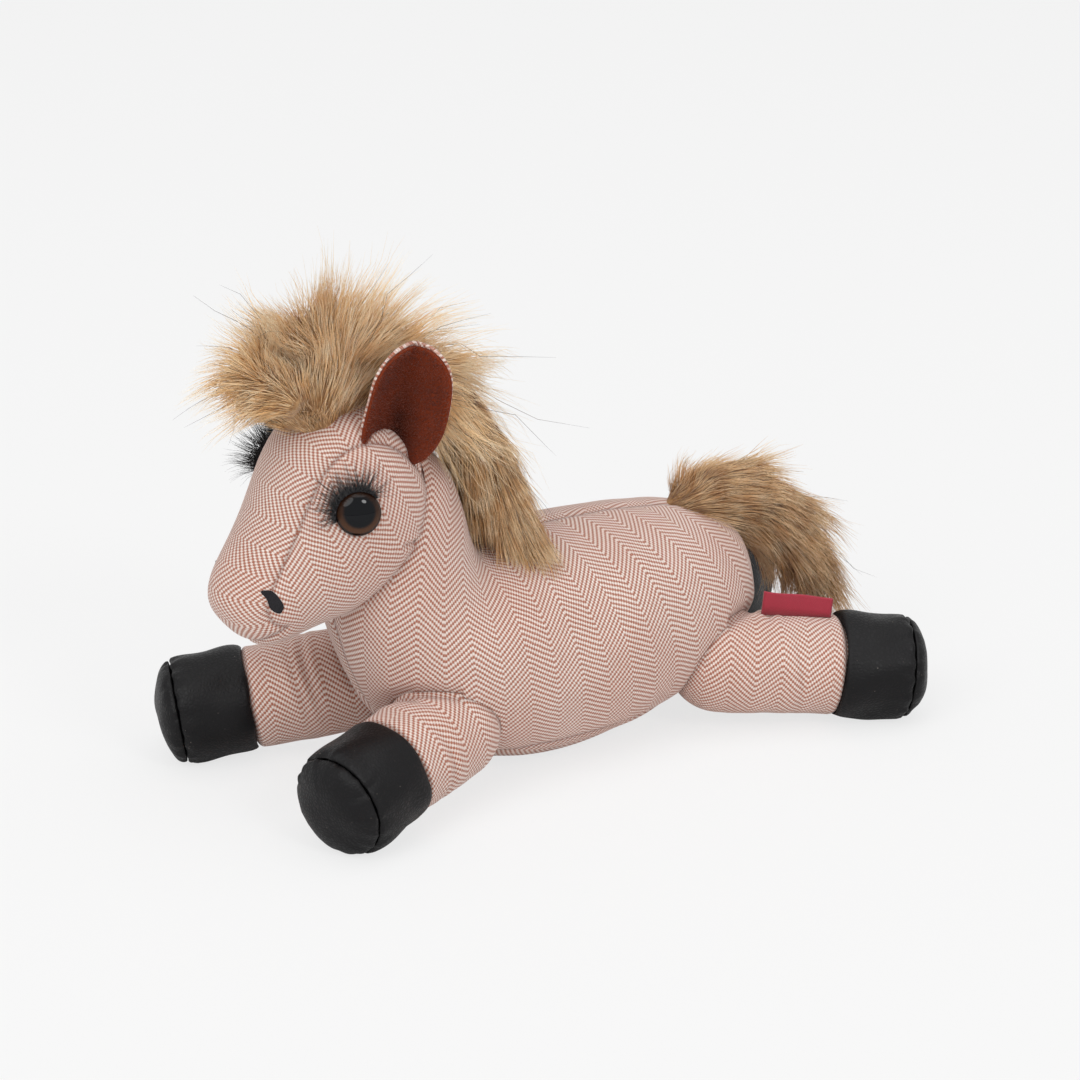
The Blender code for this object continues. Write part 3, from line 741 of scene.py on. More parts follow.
head = {
    "pivot": (-0.0865, 0, 0.1065),
    "radius": 0.0375,
    "width": 0.068,
    "length": 0.090,
    "tilt": 40,
    "crownWidth": 0.042,
    "noseWidth": 0.033,
    "gussetDrop": -0.010,
    "seamDepth": 0.0011,
    "seamWidth": 0.0020,
    "lumpSize": 0.022,
    "lumpHeight": 0.0006,
    "grain": 12.6,                  # degrees from the head's own upright
    "neckFold": (0.0007, 0.0022),   # depth, width
    "dartFold": (0.0010, 0.0012),
    "dimple": (0.0006, 0.0050),     # the eye's washer draws the cloth in
    "dimpleRim": (0.0011, 0.0017),
    "dimpleReach": 0.0086,
    "dart": ((-0.0701, -0.0287, 0.0999), (-0.0655, -0.0280, 0.0986), (-0.0605, -0.0262, 0.0984)),
    "rings": (                      # along, drop, half height, half width
        (-0.420, 0.000, 0.170, 0.160),
        (-0.335, -0.010, 0.350, 0.355),
        (-0.122, -0.035, 0.470, 0.490),
        (0.125, -0.080, 0.370, 0.415),
        (0.320, -0.060, 0.275, 0.310),
        (0.465, -0.045, 0.220, 0.245),
        (0.555, -0.040, 0.120, 0.140),
    ),
}
headPivot = Vector(head["pivot"])
headTilt = math.radians(head["tilt"])
headAxis = Vector((-math.cos(headTilt), 0, -math.sin(headTilt)))
headUp = Vector((-math.sin(headTilt), 0, math.cos(headTilt)))


def inHead(along, across, rise):    # a place in the head's own axes
    return headPivot + headAxis * along + sideAxis * across + headUp * rise


def headCage():
    rings = []
    for along, drop, high, wide in head["rings"]:
        centre = inHead(along * head["length"], 0, drop * head["length"])
        rings.append(cageRing(centre, headUp, sideAxis, high * 2 * head["radius"], wide * head["width"]))
    return loft("headCage", rings)


def gussetHalf(along):
    taper = (head["crownWidth"] - head["noseWidth"]) / head["length"]
    middle = (head["crownWidth"] + head["noseWidth"]) / 2
    return (middle - taper * along) / 2


def headPanel(point):
    local = point - headPivot
    along = local.dot(headAxis)
    if abs(point.y) < gussetHalf(along) and local.dot(headUp) > head["gussetDrop"]:
        return 0
    return 1 if point.y < 0 else 2


def anywhere(point):
    return True


def gussetPlane(side):
    slope = (gussetHalf(0.1) - gussetHalf(0)) / 0.1
    normal = (sideAxis * side - headAxis * slope).normalized()
    return inHead(0, side * gussetHalf(0), 0), normal, anywhere


def nearGusset(point):
    local = point - headPivot
    return abs(point.y) < gussetHalf(local.dot(headAxis)) + 0.0001


def makeHeadCover():
    cuts = [
        gussetPlane(-1),
        gussetPlane(1),
        (inHead(0, 0, head["gussetDrop"]), headUp, nearGusset),
    ]
    lean = math.radians(head["grain"])
    grain = headUp * math.cos(lean) - headAxis * math.sin(lean)
    mesh, seams = sewnForm(headCage(), 4, cuts, headPanel, {0: sideAxis, 1: grain, 2: grain})
    form = treeOf(mesh)
    creases = []
    for _, side in sides:
        dart = [form.find_nearest(Vector((x, y * side, z)))[0] for x, y, z in head["dart"]]
        creases.append((dart, *head["dartFold"]))
    offset = carve(mesh, seams, head["seamDepth"], head["seamWidth"], creases)
    offset += lumps(pointsOf(mesh), head["lumpSize"], 3) * head["lumpHeight"]
    points = pointsOf(mesh)
    dimple, dimpleWidth = head["dimple"]
    rim, rimWidth = head["dimpleRim"]
    for place in (eye["place"], (eye["place"][0], -eye["place"][1], eye["place"][2])):
        distance = lengthsOf(points - np.array(place))
        offset -= dimple * bell(distance, dimpleWidth)
        offset += rim * bell(distance - head["dimpleReach"], rimWidth)
    offset += drawnIn(mesh, bodyTree, *head["neckFold"])
    shaped(mesh, offset)
    return mesh


eye = {
    "radius": 0.0075,
    "dome": 0.0048,
    "edge": 0.0012,
    "stem": 0.0021,
    "stemLength": 0.0110,
    "place": (-0.0880, -0.0284, 0.1152),
    "facing": (-0.368, -0.916, 0.158),
    "gap": 0.0003,
    "pupilRise": 0.0009,
}

bodyTree = treeOf(subdivided(bodyCage(), 4))
headMesh = makeHeadCover()
headTree = treeOf(headMesh)
headCover = addPiece("head_cover", headMesh, clothFinish)
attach(headCover, "head")
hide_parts("head_left_side", "head_right_side", "forehead_gusset", "head_stuffing")
print("head cover made")


# Legs

leg = {
    "legs": (                       # name, root's place, hoof's place on the floor
        ("front_left", (-0.052, -0.0235, 0.0265), (-0.0945, -0.0360)),
        ("front_right", (-0.058, 0.0320, 0.0260), (-0.1055, 0.0530)),
        ("rear_left", (0.062, -0.0240, 0.0245), (0.1155, -0.0490)),
        ("rear_right", (0.062, 0.0240, 0.0245), (0.1155, 0.0490)),
    ),
    "rootRadius": 0.0185,
    "radius": 0.0180,
    "seamRadius": 0.0172,
    "pinch": 0.0025,
    "hoofRadius": 0.0192,
    "hoofSeamRadius": 0.0182,
    "bandLength": 0.0255,
    "bandRound": 0.0042,
    "dome": 0.0080,
    "gap": 0.0003,
    "turnedIn": 0.0035,
    "lumpSize": 0.014,
    "lumpHeight": 0.0007,
    "gathers": 17,
    "gatherDepth": 0.00060,
    "gatherReach": 0.0048,
    "floorGap": 0.0003,
    "rootFold": (0.0012, 0.0022),   # depth, width
    "socketRoom": 0.0001,
    "folds": (                      # share of the length, direction, width, depth
        (0.40, -0.6, 0.0016, 0.0013),
        (0.52, -0.9, 0.0013, 0.0009),
        (0.62, 1.5, 0.0014, 0.0007),
    ),
    "around": 120,
    "hoofAround": 176,
}


class Leg:
    def __init__(self, name, pivot, hoof):
        self.name = name
        self.pivot = Vector(pivot)
        target = Vector((hoof[0], hoof[1], leg["hoofRadius"] - body["restDepth"]))
        along = target - self.pivot
        self.length = along.length - (leg["bandLength"] + leg["dome"]) / 2
        self.along = along.normalized()
        outward = Vector((-self.along.y, self.along.x, 0)).normalized()
        if outward.y * self.pivot.y < 0:
            outward = -outward
        self.outward = outward
        self.hinge = self.along.cross(outward)
        self.up = self.hinge if self.hinge.z > 0 else -self.hinge
        self.bandEnd = self.length + leg["gap"] + leg["bandLength"]

    def place(self, radius, turn, along):           # turn 0 is up
        across = self.up * math.cos(turn) + self.outward * math.sin(turn)
        return self.pivot + across * radius + self.along * along


legs = [Leg(*row) for row in leg["legs"]]


def spacedProfile(points, count):   # (radius, along) pairs, evenly spaced on the lines between given ones
    given = np.array(points, float)
    steps = np.concatenate([[0], np.cumsum(np.linalg.norm(np.diff(given, axis=0), axis=1))])
    dense = np.linspace(0, steps[-1], count)
    return np.stack([np.interp(dense, steps, given[:, axis]) for axis in (0, 1)], 1), dense


def roundArc(radiusAcross, radiusAlong, base, start, end, count):
    turns = [math.radians(start + (end - start) * index / count) for index in range(count + 1)]
    return [(radiusAcross * math.cos(turn), base + radiusAlong * math.sin(turn)) for turn in turns]


def revolved(name, one, profile, lengths, around, closed):
    builder = bmesh.new()
    layer = builder.loops.layers.uv.new("weave")
    rows = []
    for radius, along in profile:
        if radius < 1e-6:
            rows.append([builder.verts.new(one.place(0, 0, along))])
        else:
            turns = [math.tau * index / around for index in range(around)]
            rows.append([builder.verts.new(one.place(radius, turn, along)) for turn in turns])
    spacing = math.tau * leg["radius"] / around
    for face, places in skinned(builder, rows, joined=closed):
        for loop, (row, place) in zip(face.loops, places):
            loop[layer].uv = (lengths[row], place * spacing)
    return builtMesh(name, builder)


def legPlaces(one, mesh):           # how far along and round the leg each point is
    points = pointsOf(mesh) - np.array(one.pivot)
    along = points @ np.array(one.along)
    turn = np.arctan2(points @ np.array(one.outward), points @ np.array(one.up))
    return along, turn


def makeLegCover(one, seed):
    root = roundArc(leg["rootRadius"], leg["rootRadius"], 0, -90, 0, 24)
    root[0] = (0, root[0][1])
    tube = root + [
        (leg["rootRadius"], one.length * 0.3),
        (leg["radius"] * 1.01, one.length - leg["pinch"] * 2.2),
        (leg["radius"] * 1.005, one.length - leg["pinch"] * 0.5),
        (leg["seamRadius"] * 1.01, one.length),
        (leg["seamRadius"] * 0.90, one.length + 0.0010),
        (leg["seamRadius"] * 0.86, one.length + 0.0030),
        (0, one.length + 0.0030),
    ]
    profile, lengths = spacedProfile(tube, 96)
    profile[-1][0] = 0
    mesh = revolved(one.name + "_leg_cover", one, profile, lengths, leg["around"], False)
    along, turn = legPlaces(one, mesh)
    points = pointsOf(mesh)
    free = np.clip((along + 0.005) / 0.015, 0, 1) * np.clip((one.length - along) / 0.004, 0, 1)
    offset = lumps(points, leg["lumpSize"], seed) * leg["lumpHeight"]
    offset += lumps(points * np.array((1, 1, 0.6)), leg["lumpSize"] * 0.45, seed + 3) * leg["lumpHeight"] * 0.35
    dark = np.zeros(len(points))
    for share, where, width, depth in leg["folds"]:
        wave = along - one.length * share - 0.0015 * np.sin(turn * 2 + seed)
        reach = bell(np.angle(np.exp(1j * (turn - where))), 0.8)
        offset -= depth * bell(wave, width) * reach
        offset += depth * 0.5 * bell(np.abs(wave) - width * 2, width) * reach
        # painted shade in each fold's hollow
        dark = np.maximum(dark, bell(wave, width * 0.5) * reach * 0.4)
    keepMeasure(mesh, "crease", dark)
    offset = offset * free + drawnIn(mesh, bodyTree, *leg["rootFold"]) * (along > 0)
    shaped(mesh, offset)
    onFloor(mesh, leg["floorGap"])
    keepMeasure(mesh, "seamDistance", np.abs(one.length - along))
    return addPiece(one.name + "_leg_fabric", mesh, clothFinish)


def gathered(one, mesh, seed, strength):            # the pucker that the hoof's seam thread draws up
    along, turn = legPlaces(one, mesh)
    points = pointsOf(mesh)
    distance = np.abs(along - one.bandEnd - leg["gap"] / 2)
    drawn = np.exp(-distance / leg["gatherReach"] * 1.6) * np.clip(distance / 0.0008, 0.25, 1)
    uneven = lumps(points, 0.006, seed)
    wave = np.cos(turn * leg["gathers"] + uneven * 2.4) * (0.75 + 0.9 * uneven)
    radial = lengthsOf(points - np.array(one.pivot) - along[:, None] * np.array(one.along))
    wave *= np.clip(radial / leg["hoofSeamRadius"], 0, 1) ** 3
    offset = leg["gatherDepth"] * wave * drawn * strength
    offset += lumps(points, 0.013, seed + 1) * 0.0013 * np.clip(distance / 0.003, 0.2, 1)
    keepMeasure(mesh, "seamDistance", np.minimum(distance, np.abs(along - one.length)))
    return offset


def makeHoof(one, seed):
    start = one.length + leg["gap"]
    seam = leg["hoofSeamRadius"]
    full = leg["hoofRadius"]
    soft = leg["bandRound"]
    outline = [
        (seam * 0.94, start + 0.0004),
        (seam * 0.985, start),
        (seam + (full - seam) * 0.45, start + soft * 0.22),
        (full * 0.992, start + soft * 0.6),
        (full, start + soft * 1.1),
        (full, one.bandEnd - soft * 1.2),
        (full * 0.99, one.bandEnd - soft * 0.6),
        (seam + (full - seam) * 0.40, one.bandEnd - soft * 0.2),
        (seam * 0.985, one.bandEnd),
        (seam * 0.94, one.bandEnd - 0.0005),
        (seam * 0.94, start + 0.0004),
    ]
    profile, lengths = spacedProfile(outline, 72)
    mesh = revolved(one.name + "_hoof_band", one, profile[:-1], lengths, leg["hoofAround"], True)
    shaped(mesh, gathered(one, mesh, seed, 1.0))
    onFloor(mesh)
    band = addPiece(one.name + "_hoof_sleeve", mesh, hideFinish)
    base = one.bandEnd + leg["gap"]
    dome = roundArc(seam * 0.985, leg["dome"] - leg["gap"], base, 90, 0, 30)
    dome[0] = (0, dome[0][1])
    turnedIn = base - leg["turnedIn"]
    dome += [(seam * 0.92, base), (seam * 0.89, base - 0.0008), (seam * 0.88, turnedIn), (0, turnedIn)]
    profile, lengths = spacedProfile(dome, 72)
    profile[0][0] = 0
    profile[-1][0] = 0
    mesh = revolved(one.name + "_hoof_sole", one, profile, lengths, leg["hoofAround"], False)
    shaped(mesh, gathered(one, mesh, seed + 5, 0.9))
    onFloor(mesh)
    sole = addPiece(one.name + "_hoof_cap", mesh, hideFinish)
    return band, sole


def finishLegs():
    for seed, one in enumerate(legs):
        rider = one.name + "_leg"
        fabric = makeLegCover(one, seed * 7 + 2)
        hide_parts(one.name + "_leg_cover", one.name + "_leg_stuffing")
        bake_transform(fabric)
        for piece, node in zip(makeHoof(one, seed * 11 + 4), ("_hoof_band", "_hoof_sole")):
            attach(piece, rider)
            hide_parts(one.name + node)


finishLegs()
print("legs and hooves made")


def legSocket(one):                 # the leg's root and tube with a little room
    room = leg["socketRoom"]
    profile = roundArc(leg["rootRadius"] + room, leg["rootRadius"] + room, 0, -90, 0, 12)
    profile[0] = (0, profile[0][1])
    end = one.length + leg["bandLength"]
    profile += [(leg["rootRadius"] + room, one.length * 0.5), (leg["hoofRadius"] + room, end), (0, end)]
    return revolved("socket", one, np.array(profile), [0] * len(profile), 72, False)


def makeBody():
    cuts = [(upAxis * body["bellySeam"], upAxis, anywhere), (Vector(), sideAxis, anywhere)]
    mesh, seams = sewnForm(bodyCage(), 4, cuts, bodyPanel, {0: Vector((1, 0, 0)), 1: upAxis, 2: upAxis})
    offset = carve(mesh, seams, body["seamDepth"], body["seamWidth"])
    points = pointsOf(mesh)
    offset += lumps(points, body["lumpSize"], 1) * body["lumpHeight"]
    offset += lumps(points, body["lumpSize"] * 0.4, 2) * body["lumpHeight"] * 0.35
    dark = np.zeros(len(points))
    depth, width = body["legFold"]
    for one in legs:                # the seam round each leg draws the cloth in, with painted shade along it
        reach = points - np.array(one.pivot)
        along = reach @ np.array(one.along)
        radial = lengthsOf(reach - along[:, None] * np.array(one.along))
        outside = np.abs(radial - leg["rootRadius"])
        offset -= depth * bell(np.maximum(radial - leg["rootRadius"], 0), width) * (along > 0)
        dark = np.maximum(dark, bell(outside, foldShade) * (along > 0))
    keepMeasure(mesh, "crease", dark)
    offset += drawnIn(mesh, headTree, *body["headFold"])
    offset = np.where(points[:, 2] < 0.002, np.minimum(offset, 0), offset)
    shaped(mesh, offset)
    onFloor(mesh)
    room = subdivided(headCage(), 3)
    shaped(room, np.full(len(room.vertices), -body["headRoom"]))
    mesh = takeAway(mesh, room, *[legSocket(one) for one in legs])
    made = addPiece("body_cover", mesh, clothFinish)
    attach(made, "body")
    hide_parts("body_left_side", "body_right_side", "belly_panel", "body_stuffing")


makeBody()
print("body cover made")


# Side label, bare

label = {
    "start": 0.0135,
    "length": 0.0256,
    "height": 0.0072,
    "thickness": 0.0010,
    "base": 0.0184,
    "lift": 0.0020,
}


def makeLabel():
    one = legs[2]
    rows = 26
    half = label["thickness"] / 2
    section = [(-half, 0.0)]
    section += [(-half, label["height"] * share) for share in (0.3, 0.6, 0.85)]
    section += [(half * math.cos(t), label["height"] - half + half * math.sin(t)) for t in
                [math.pi - math.pi * i / 6 for i in range(7)]]
    section += [(half, label["height"] * share) for share in (0.85, 0.6, 0.3, 0.0)]
    builder = bmesh.new()
    layer = builder.loops.layers.uv.new("weave")
    grid = []
    for row in range(rows + 1):
        share = row / rows
        along = label["start"] + label["length"] * share
        sway = 0.0005 * math.sin(share * 5.2 + 0.6)
        line = []
        for across, rise in section:
            lean = sway * rise / label["height"]
            point = one.pivot + one.along * along + one.outward * (across + lean)
            lift = label["lift"] * (1 - share) * (rise > 0)
            ripple = 1 - 0.02 * math.sin(share * 9)
            line.append(builder.verts.new(point + one.up * (label["base"] + lift + rise * ripple)))
        grid.append(line)
    for row in range(rows):
        for index in range(len(section) - 1):
            face = builder.faces.new(
                (grid[row][index], grid[row][index + 1], grid[row + 1][index + 1], grid[row + 1][index])
            )
            for loop in face.loops:
                local = loop.vert.co - one.pivot
                loop[layer].uv = (local.dot(one.along), local.dot(one.up) + 0.02 * (index > 5))
        builder.faces.new((grid[row][0], grid[row + 1][0], grid[row + 1][-1], grid[row][-1]))
    builder.faces.new(grid[0])
    builder.faces.new(grid[-1][::-1])
    made = addPiece("side_label_ribbon", builtMesh("side_label_ribbon", builder), ribbonFinish)
    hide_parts("side_label")
    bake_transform(made)


makeLabel()
print("label made")


# Eyes

def mirroredSeat(values, side):     # X across, Y up, Z out of the surface
    place = Vector(values["place"])
    out = Vector(values["facing"])
    place.y *= -side
    out.y *= -side
    out.normalize()
    across = upAxis.cross(out).normalized()
    return Matrix.Translation(place) @ Matrix((across, out.cross(across), out)).transposed().to_4x4()


def turnedMesh(name, profile, around):
    builder = bmesh.new()
    rows = []
    for radius, height in profile:
        turns = [math.tau * index / around for index in range(1 if radius < 1e-6 else around)]
        rows.append([
            builder.verts.new((radius * math.cos(turn), radius * math.sin(turn), height)) for turn in turns
        ])
    for _ in skinned(builder, rows):
        pass
    return builtMesh(name, builder)


def makeEye(name, side):
    dome = roundArc(eye["radius"], eye["dome"] - eye["edge"], eye["gap"] + eye["edge"], 90, 0, 22)
    dome[0] = (0, dome[0][1])
    dome += [
        (eye["radius"] * 0.995, eye["gap"] + eye["edge"] * 0.4),
        (eye["radius"] * 0.96, eye["gap"]),
        (eye["stem"], eye["gap"]),
        (eye["stem"], eye["gap"] - eye["stemLength"]),
        (0, eye["gap"] - eye["stemLength"]),
    ]
    mesh = turnedMesh(name + "_eye_dome", dome, 96)
    points = pointsOf(mesh)
    raised = points - np.array((0, eye["pupilRise"], 0))
    keepMeasure(mesh, "reach", lengthsOf(raised[:, :2]) / eye["radius"])
    # how low each point sits, for the iris's painted shade and painted light
    keepMeasure(mesh, "lowness", 0.5 - points[:, 1] / eye["radius"] / 2)
    mesh.transform(mirroredSeat(eye, side))
    made = addPiece(name + "_eye_dome", mesh, eyeFinish)
    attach(made, "head")
    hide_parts(name + "_eye")


# Hair: a strand for each scattered point, combed and swayed by vectors kept on its base

def geometryTree(name, sockets):
    tree = bpy.data.node_groups.new(name, "GeometryNodeTree")
    tree.interface.new_socket("Geometry", in_out="INPUT", socket_type="NodeSocketGeometry")
    for label, kind in sockets:
        tree.interface.new_socket(label, in_out="INPUT", socket_type=kind)
    tree.interface.new_socket("Geometry", in_out="OUTPUT", socket_type="NodeSocketGeometry")
    wiring = Wiring(tree)
    entry = wiring.node("NodeGroupInput")
    return tree, wiring, entry


def makeHairTree():
    numbers = (
        "Density", "Length", "Unevenness", "Width", "Sway", "Curl", "Curl Scale", "Tuft", "Tuft Scale", "Stray",
    )
    sockets = [(label, "NodeSocketFloat") for label in numbers]
    sockets += [("Joints", "NodeSocketInt"), ("Seed", "NodeSocketInt"), ("Finish", "NodeSocketMaterial")]
    tree, wiring, entry = geometryTree("hairStrands", sockets)
    node = wiring.node

    def kept(name, kind="FLOAT"):
        return node("GeometryNodeInputNamedAttribute", {"data_type": kind}, {"Name": name})

    def store(geometry, name, value, kind="FLOAT"):
        values = {"Geometry": geometry, "Name": name, "Value": value}
        return node("GeometryNodeStoreNamedAttribute", {"data_type": kind, "domain": "POINT"}, values)

    def anyNumber(low, high, shift):
        values = {2: low, 3: high, "Seed": entry.other("Seed") + shift}
        return node("FunctionNodeRandomValue", {"data_type": "FLOAT"}, values, 1)

    points = node(
        "GeometryNodeDistributePointsOnFaces",
        {"distribute_method": "RANDOM"},
        {"Mesh": entry, "Density": entry.other("Density") * kept("thickness"), "Seed": entry.other("Seed")},
    )
    place = node("GeometryNodeInputPosition")
    tufts = wiring.noise(place, entry.other("Tuft Scale"), 1.0, 0.5, 1)
    drift = wiring.scaled(wiring.vector("SUBTRACT", tufts, (0.5, 0.5, 0.5)), entry.other("Tuft"))
    stray = node(
        "FunctionNodeRandomValue",
        {"data_type": "FLOAT_VECTOR"},
        {0: (-1, -1, -1), 1: (1, 1, 1), "Seed": entry.other("Seed") + 3},
    )
    stray = wiring.scaled(stray, entry.other("Stray"))
    heading = wiring.vector("ADD", wiring.vector("ADD", kept("comb", "FLOAT_VECTOR"), drift), stray)
    span = entry.other("Length") * kept("pile") * (1 - anyNumber(0.0, 1.0, 5) * entry.other("Unevenness"))
    points = store(points, "shade", anyNumber(0.0, 1.0, 7))
    points = store(points, "span", span)
    points = store(points, "lie", wiring.vector("ADD", kept("sway", "FLOAT_VECTOR"), drift), "FLOAT_VECTOR")
    line = node("GeometryNodeCurvePrimitiveLine", None, {"End": (0, 0, 1)})
    line = node("GeometryNodeResampleCurve", None, {"Curve": line, "Count": entry.other("Joints")})
    rotation = node("FunctionNodeAlignRotationToVector", {"axis": "Z"}, {"Vector": heading})
    size = node("ShaderNodeCombineXYZ", None, {0: span, 1: span, 2: span})
    strands = node(
        "GeometryNodeInstanceOnPoints",
        None,
        {"Points": points, "Instance": line, "Rotation": rotation, "Scale": size},
    )
    strands = node("GeometryNodeRealizeInstances", None, {"Geometry": strands})
    along = node("GeometryNodeSplineParameter")
    curl = wiring.noise(place, entry.other("Curl Scale"), 1.0, 0.5, 1)
    curl = wiring.vector("SUBTRACT", curl, (0.5, 0.5, 0.5))
    bend = wiring.scaled(kept("lie", "FLOAT_VECTOR"), along * along * kept("span") * entry.other("Sway"))
    waves = wiring.scaled(curl, along * kept("span") * entry.other("Curl"))
    strands = node(
        "GeometryNodeSetPosition", None, {"Geometry": strands, "Offset": wiring.vector("ADD", bend, waves)}
    )
    strands = store(strands, "along", along)
    thin = entry.other("Width") * (1 - 0.85 * along ** 1.6)
    ring = node("GeometryNodeCurvePrimitiveCircle", {"mode": "RADIUS"}, {"Resolution": 3, "Radius": 0.5})
    solid = node(
        "GeometryNodeCurveToMesh",
        None,
        {"Curve": strands, "Profile Curve": ring, "Scale": thin, "Fill Caps": True},
    )
    solid = node("GeometryNodeRealizeInstances", None, {"Geometry": solid})
    solid = node("GeometryNodeSetMaterial", None, {"Geometry": solid, "Material": entry.other("Finish")})
    finishTree(wiring, solid)
    return tree


def finishTree(wiring, geometry):
    end = wiring.tree.nodes.new("NodeGroupOutput")
    wiring.plug(geometry, end.inputs[0])


def runTree(tree, mesh, values):
    host = hosted(mesh)
    modifier = host.modifiers.new("grow", "NODES")
    modifier.node_group = tree
    for item in tree.interface.items_tree:
        if item.in_out == "INPUT" and item.name in values:
            modifier[item.identifier] = values[item.name]
    return evaluated(host)


hairTree = makeHairTree()


strand = {
    "Unevenness": 0.7,
    "Width": 0.00023,
    "Curl": 0.55,
    "Curl Scale": 70.0,
    "Stray": 0.16,
    "Joints": 5,
}


def combed(mesh, comb, sway, pile, thickness):
    keepMeasure(mesh, "comb", comb, "FLOAT_VECTOR")
    keepMeasure(mesh, "sway", sway, "FLOAT_VECTOR")
    keepMeasure(mesh, "pile", pile)
    keepMeasure(mesh, "thickness", thickness)
    return mesh


def growHair(name, base, rider, finish, values):
    mesh = runTree(hairTree, base.copy(), {**values, "Finish": finish})
    made = addPiece(name, mesh, finish)
    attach(made, rider)
    print(name, "has", len(mesh.polygons) * 2, "triangles")
    return made


def addPile(base, name, rider, node):
    core = addPiece(name, base, coreFinish)
    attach(core, rider)
    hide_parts(node)
    return pointsOf(base), normalsOf(base)


# Head mane

headMane = {
    "topRadius": 0.083,
    "width": 0.038,
    "fill": 0.77,                   # the dense pile's share of the mane's height
    "fillAcross": 0.86,
    "between": (-0.066, 0, 0.148),  # where the ears draw it in
    "betweenWidth": 0.018,
    "whorlDepth": 0.010,
    "whorl": (-0.097, -0.010, 0.168),
    "flow": (                       # degrees round the nodding axis, and where the hair there heads
        (40, -62), (50, -38), (60, 8), (70, 50), (80, 84), (92, 104), (102, 124), (110, 150), (118, 165),
    ),
    "rings": (                      # degrees round the nodding axis, inner and outer radius, half width
        (40, 0.70, 0.92, 0.28),
        (46, 0.50, 0.98, 0.40),
        (64, 0.33, 0.98, 0.42),
        (82, 0.33, 1.00, 0.42),
        (98, 0.34, 1.00, 0.44),
        (111, 0.40, 0.97, 0.42),
        (118, 0.55, 0.88, 0.28),
    ),
    "hair": {
        **strand,
        "Density": 1250000.0,
        "Length": 0.019,
        "Width": 0.00022,
        "Sway": 0.30,
        "Curl": 0.6,
        "Tuft": 2.5,
        "Tuft Scale": 62.0,
        "Joints": 6,
    },
    "sprayLength": 0.024,
    "lean": 0.95,                   # how far the flow combs the hair, and how far it stands up
    "standing": (0.40, 0.28, 0.40),
    "swayLean": 0.5,
    "sag": (0.0, -0.1, -0.4),
    "low": (0.034, 0.026),          # distance from the nodding axis where the full pile starts, and over what
    "shortest": 0.62,
    "lengthening": 0.38,
    "tuftSize": 0.008,
    "tuftHeight": 0.55,
    "nape": (64, 14),               # degrees where the pile starts to lengthen, and over what
    "napeLonger": 0.7,
    "front": (92, 18),              # degrees where the pile starts to shorten, and over what
    "frontShorter": 0.52,
    "sprayShorter": 0.26,
    "guard": {"Seed": 13, "Density": 15000.0, "Length": 0.033, "Width": 0.00024, "Stray": 0.45},
}


def headManeBase():
    rings = []
    for degrees, inner, outer, wide in headMane["rings"]:
        turn = math.radians(degrees)
        outward = Vector((math.cos(turn), 0, math.sin(turn)))
        low = inner * headMane["topRadius"]
        high = outer * headMane["topRadius"] * headMane["fill"]
        centre = headPivot + outward * (low + high) / 2
        across = wide * headMane["width"] * headMane["fillAcross"]
        rings.append(cageRing(centre, outward, sideAxis, (high - low) / 2, across))
    mesh = subdivided(loft("headManeCore", rings), 4)
    points = pointsOf(mesh)
    whorl = np.array(headMane["whorl"])
    beside = points - np.array(headMane["between"])
    beside = bell(lengthsOf(beside * np.array((1, 0, 0.7))), headMane["betweenWidth"])
    points[:, 1] *= 1 - 0.5 * beside
    setPoints(mesh, points)
    offset = lumps(points, 0.011, 21) * 0.0030 + lumps(points, 0.005, 22) * 0.0012
    depth = headMane["whorlDepth"]
    offset -= depth * bell(lengthsOf(points - whorl), depth)
    shaped(mesh, offset)
    return mesh


def makeHeadMane():
    base = headManeBase()
    points, normals = addPile(base, "head_mane_pile", "head", "head_mane")
    local = points - np.array(headPivot)
    stations = np.array(headMane["flow"], float)
    degrees = np.degrees(np.arctan2(local[:, 2], local[:, 0]))
    heading = np.radians(np.interp(degrees, *stations.T))
    away = np.stack([np.cos(heading), np.zeros(len(points)), np.sin(heading)], 1)
    comb = unit(away * headMane["lean"] + normals * np.array(headMane["standing"]))
    sway = unit(away * headMane["swayLean"] + np.array(headMane["sag"]))
    radial = lengthsOf(local[:, (0, 2)])
    low = ramp(radial, *headMane["low"])
    napeStart, napeWidth = headMane["nape"]
    nape = np.clip((napeStart - degrees) / napeWidth, 0, 1)
    tufts = headMane["tuftHeight"] * lumps(points, headMane["tuftSize"], 27)
    front = ramp(degrees, *headMane["front"])
    full = (headMane["shortest"] + headMane["lengthening"] * low) * (1 + tufts + headMane["napeLonger"] * nape)
    spread = np.clip(low * 1.4, 0.5, 1)
    hair = combed(base.copy(), comb, sway, full * (1 - headMane["frontShorter"] * front), spread)
    longer = full * (1 - headMane["sprayShorter"] * front)
    spray = combed(base.copy(), comb, sway, longer, spread)     # stands out past the forelock
    growHair("head_mane_hair_a", hair, "head", furFinish, {**headMane["hair"], "Seed": 11})
    long = {**headMane["hair"], "Seed": 12, "Length": headMane["sprayLength"]}
    growHair("head_mane_hair_b", spray, "head", furFinish, long)
    guard = {**headMane["hair"], **headMane["guard"]}
    growHair("head_mane_guard_hair", spray, "head", guardFinish, guard)


makeHeadMane()
print("head mane made")


# Neck mane

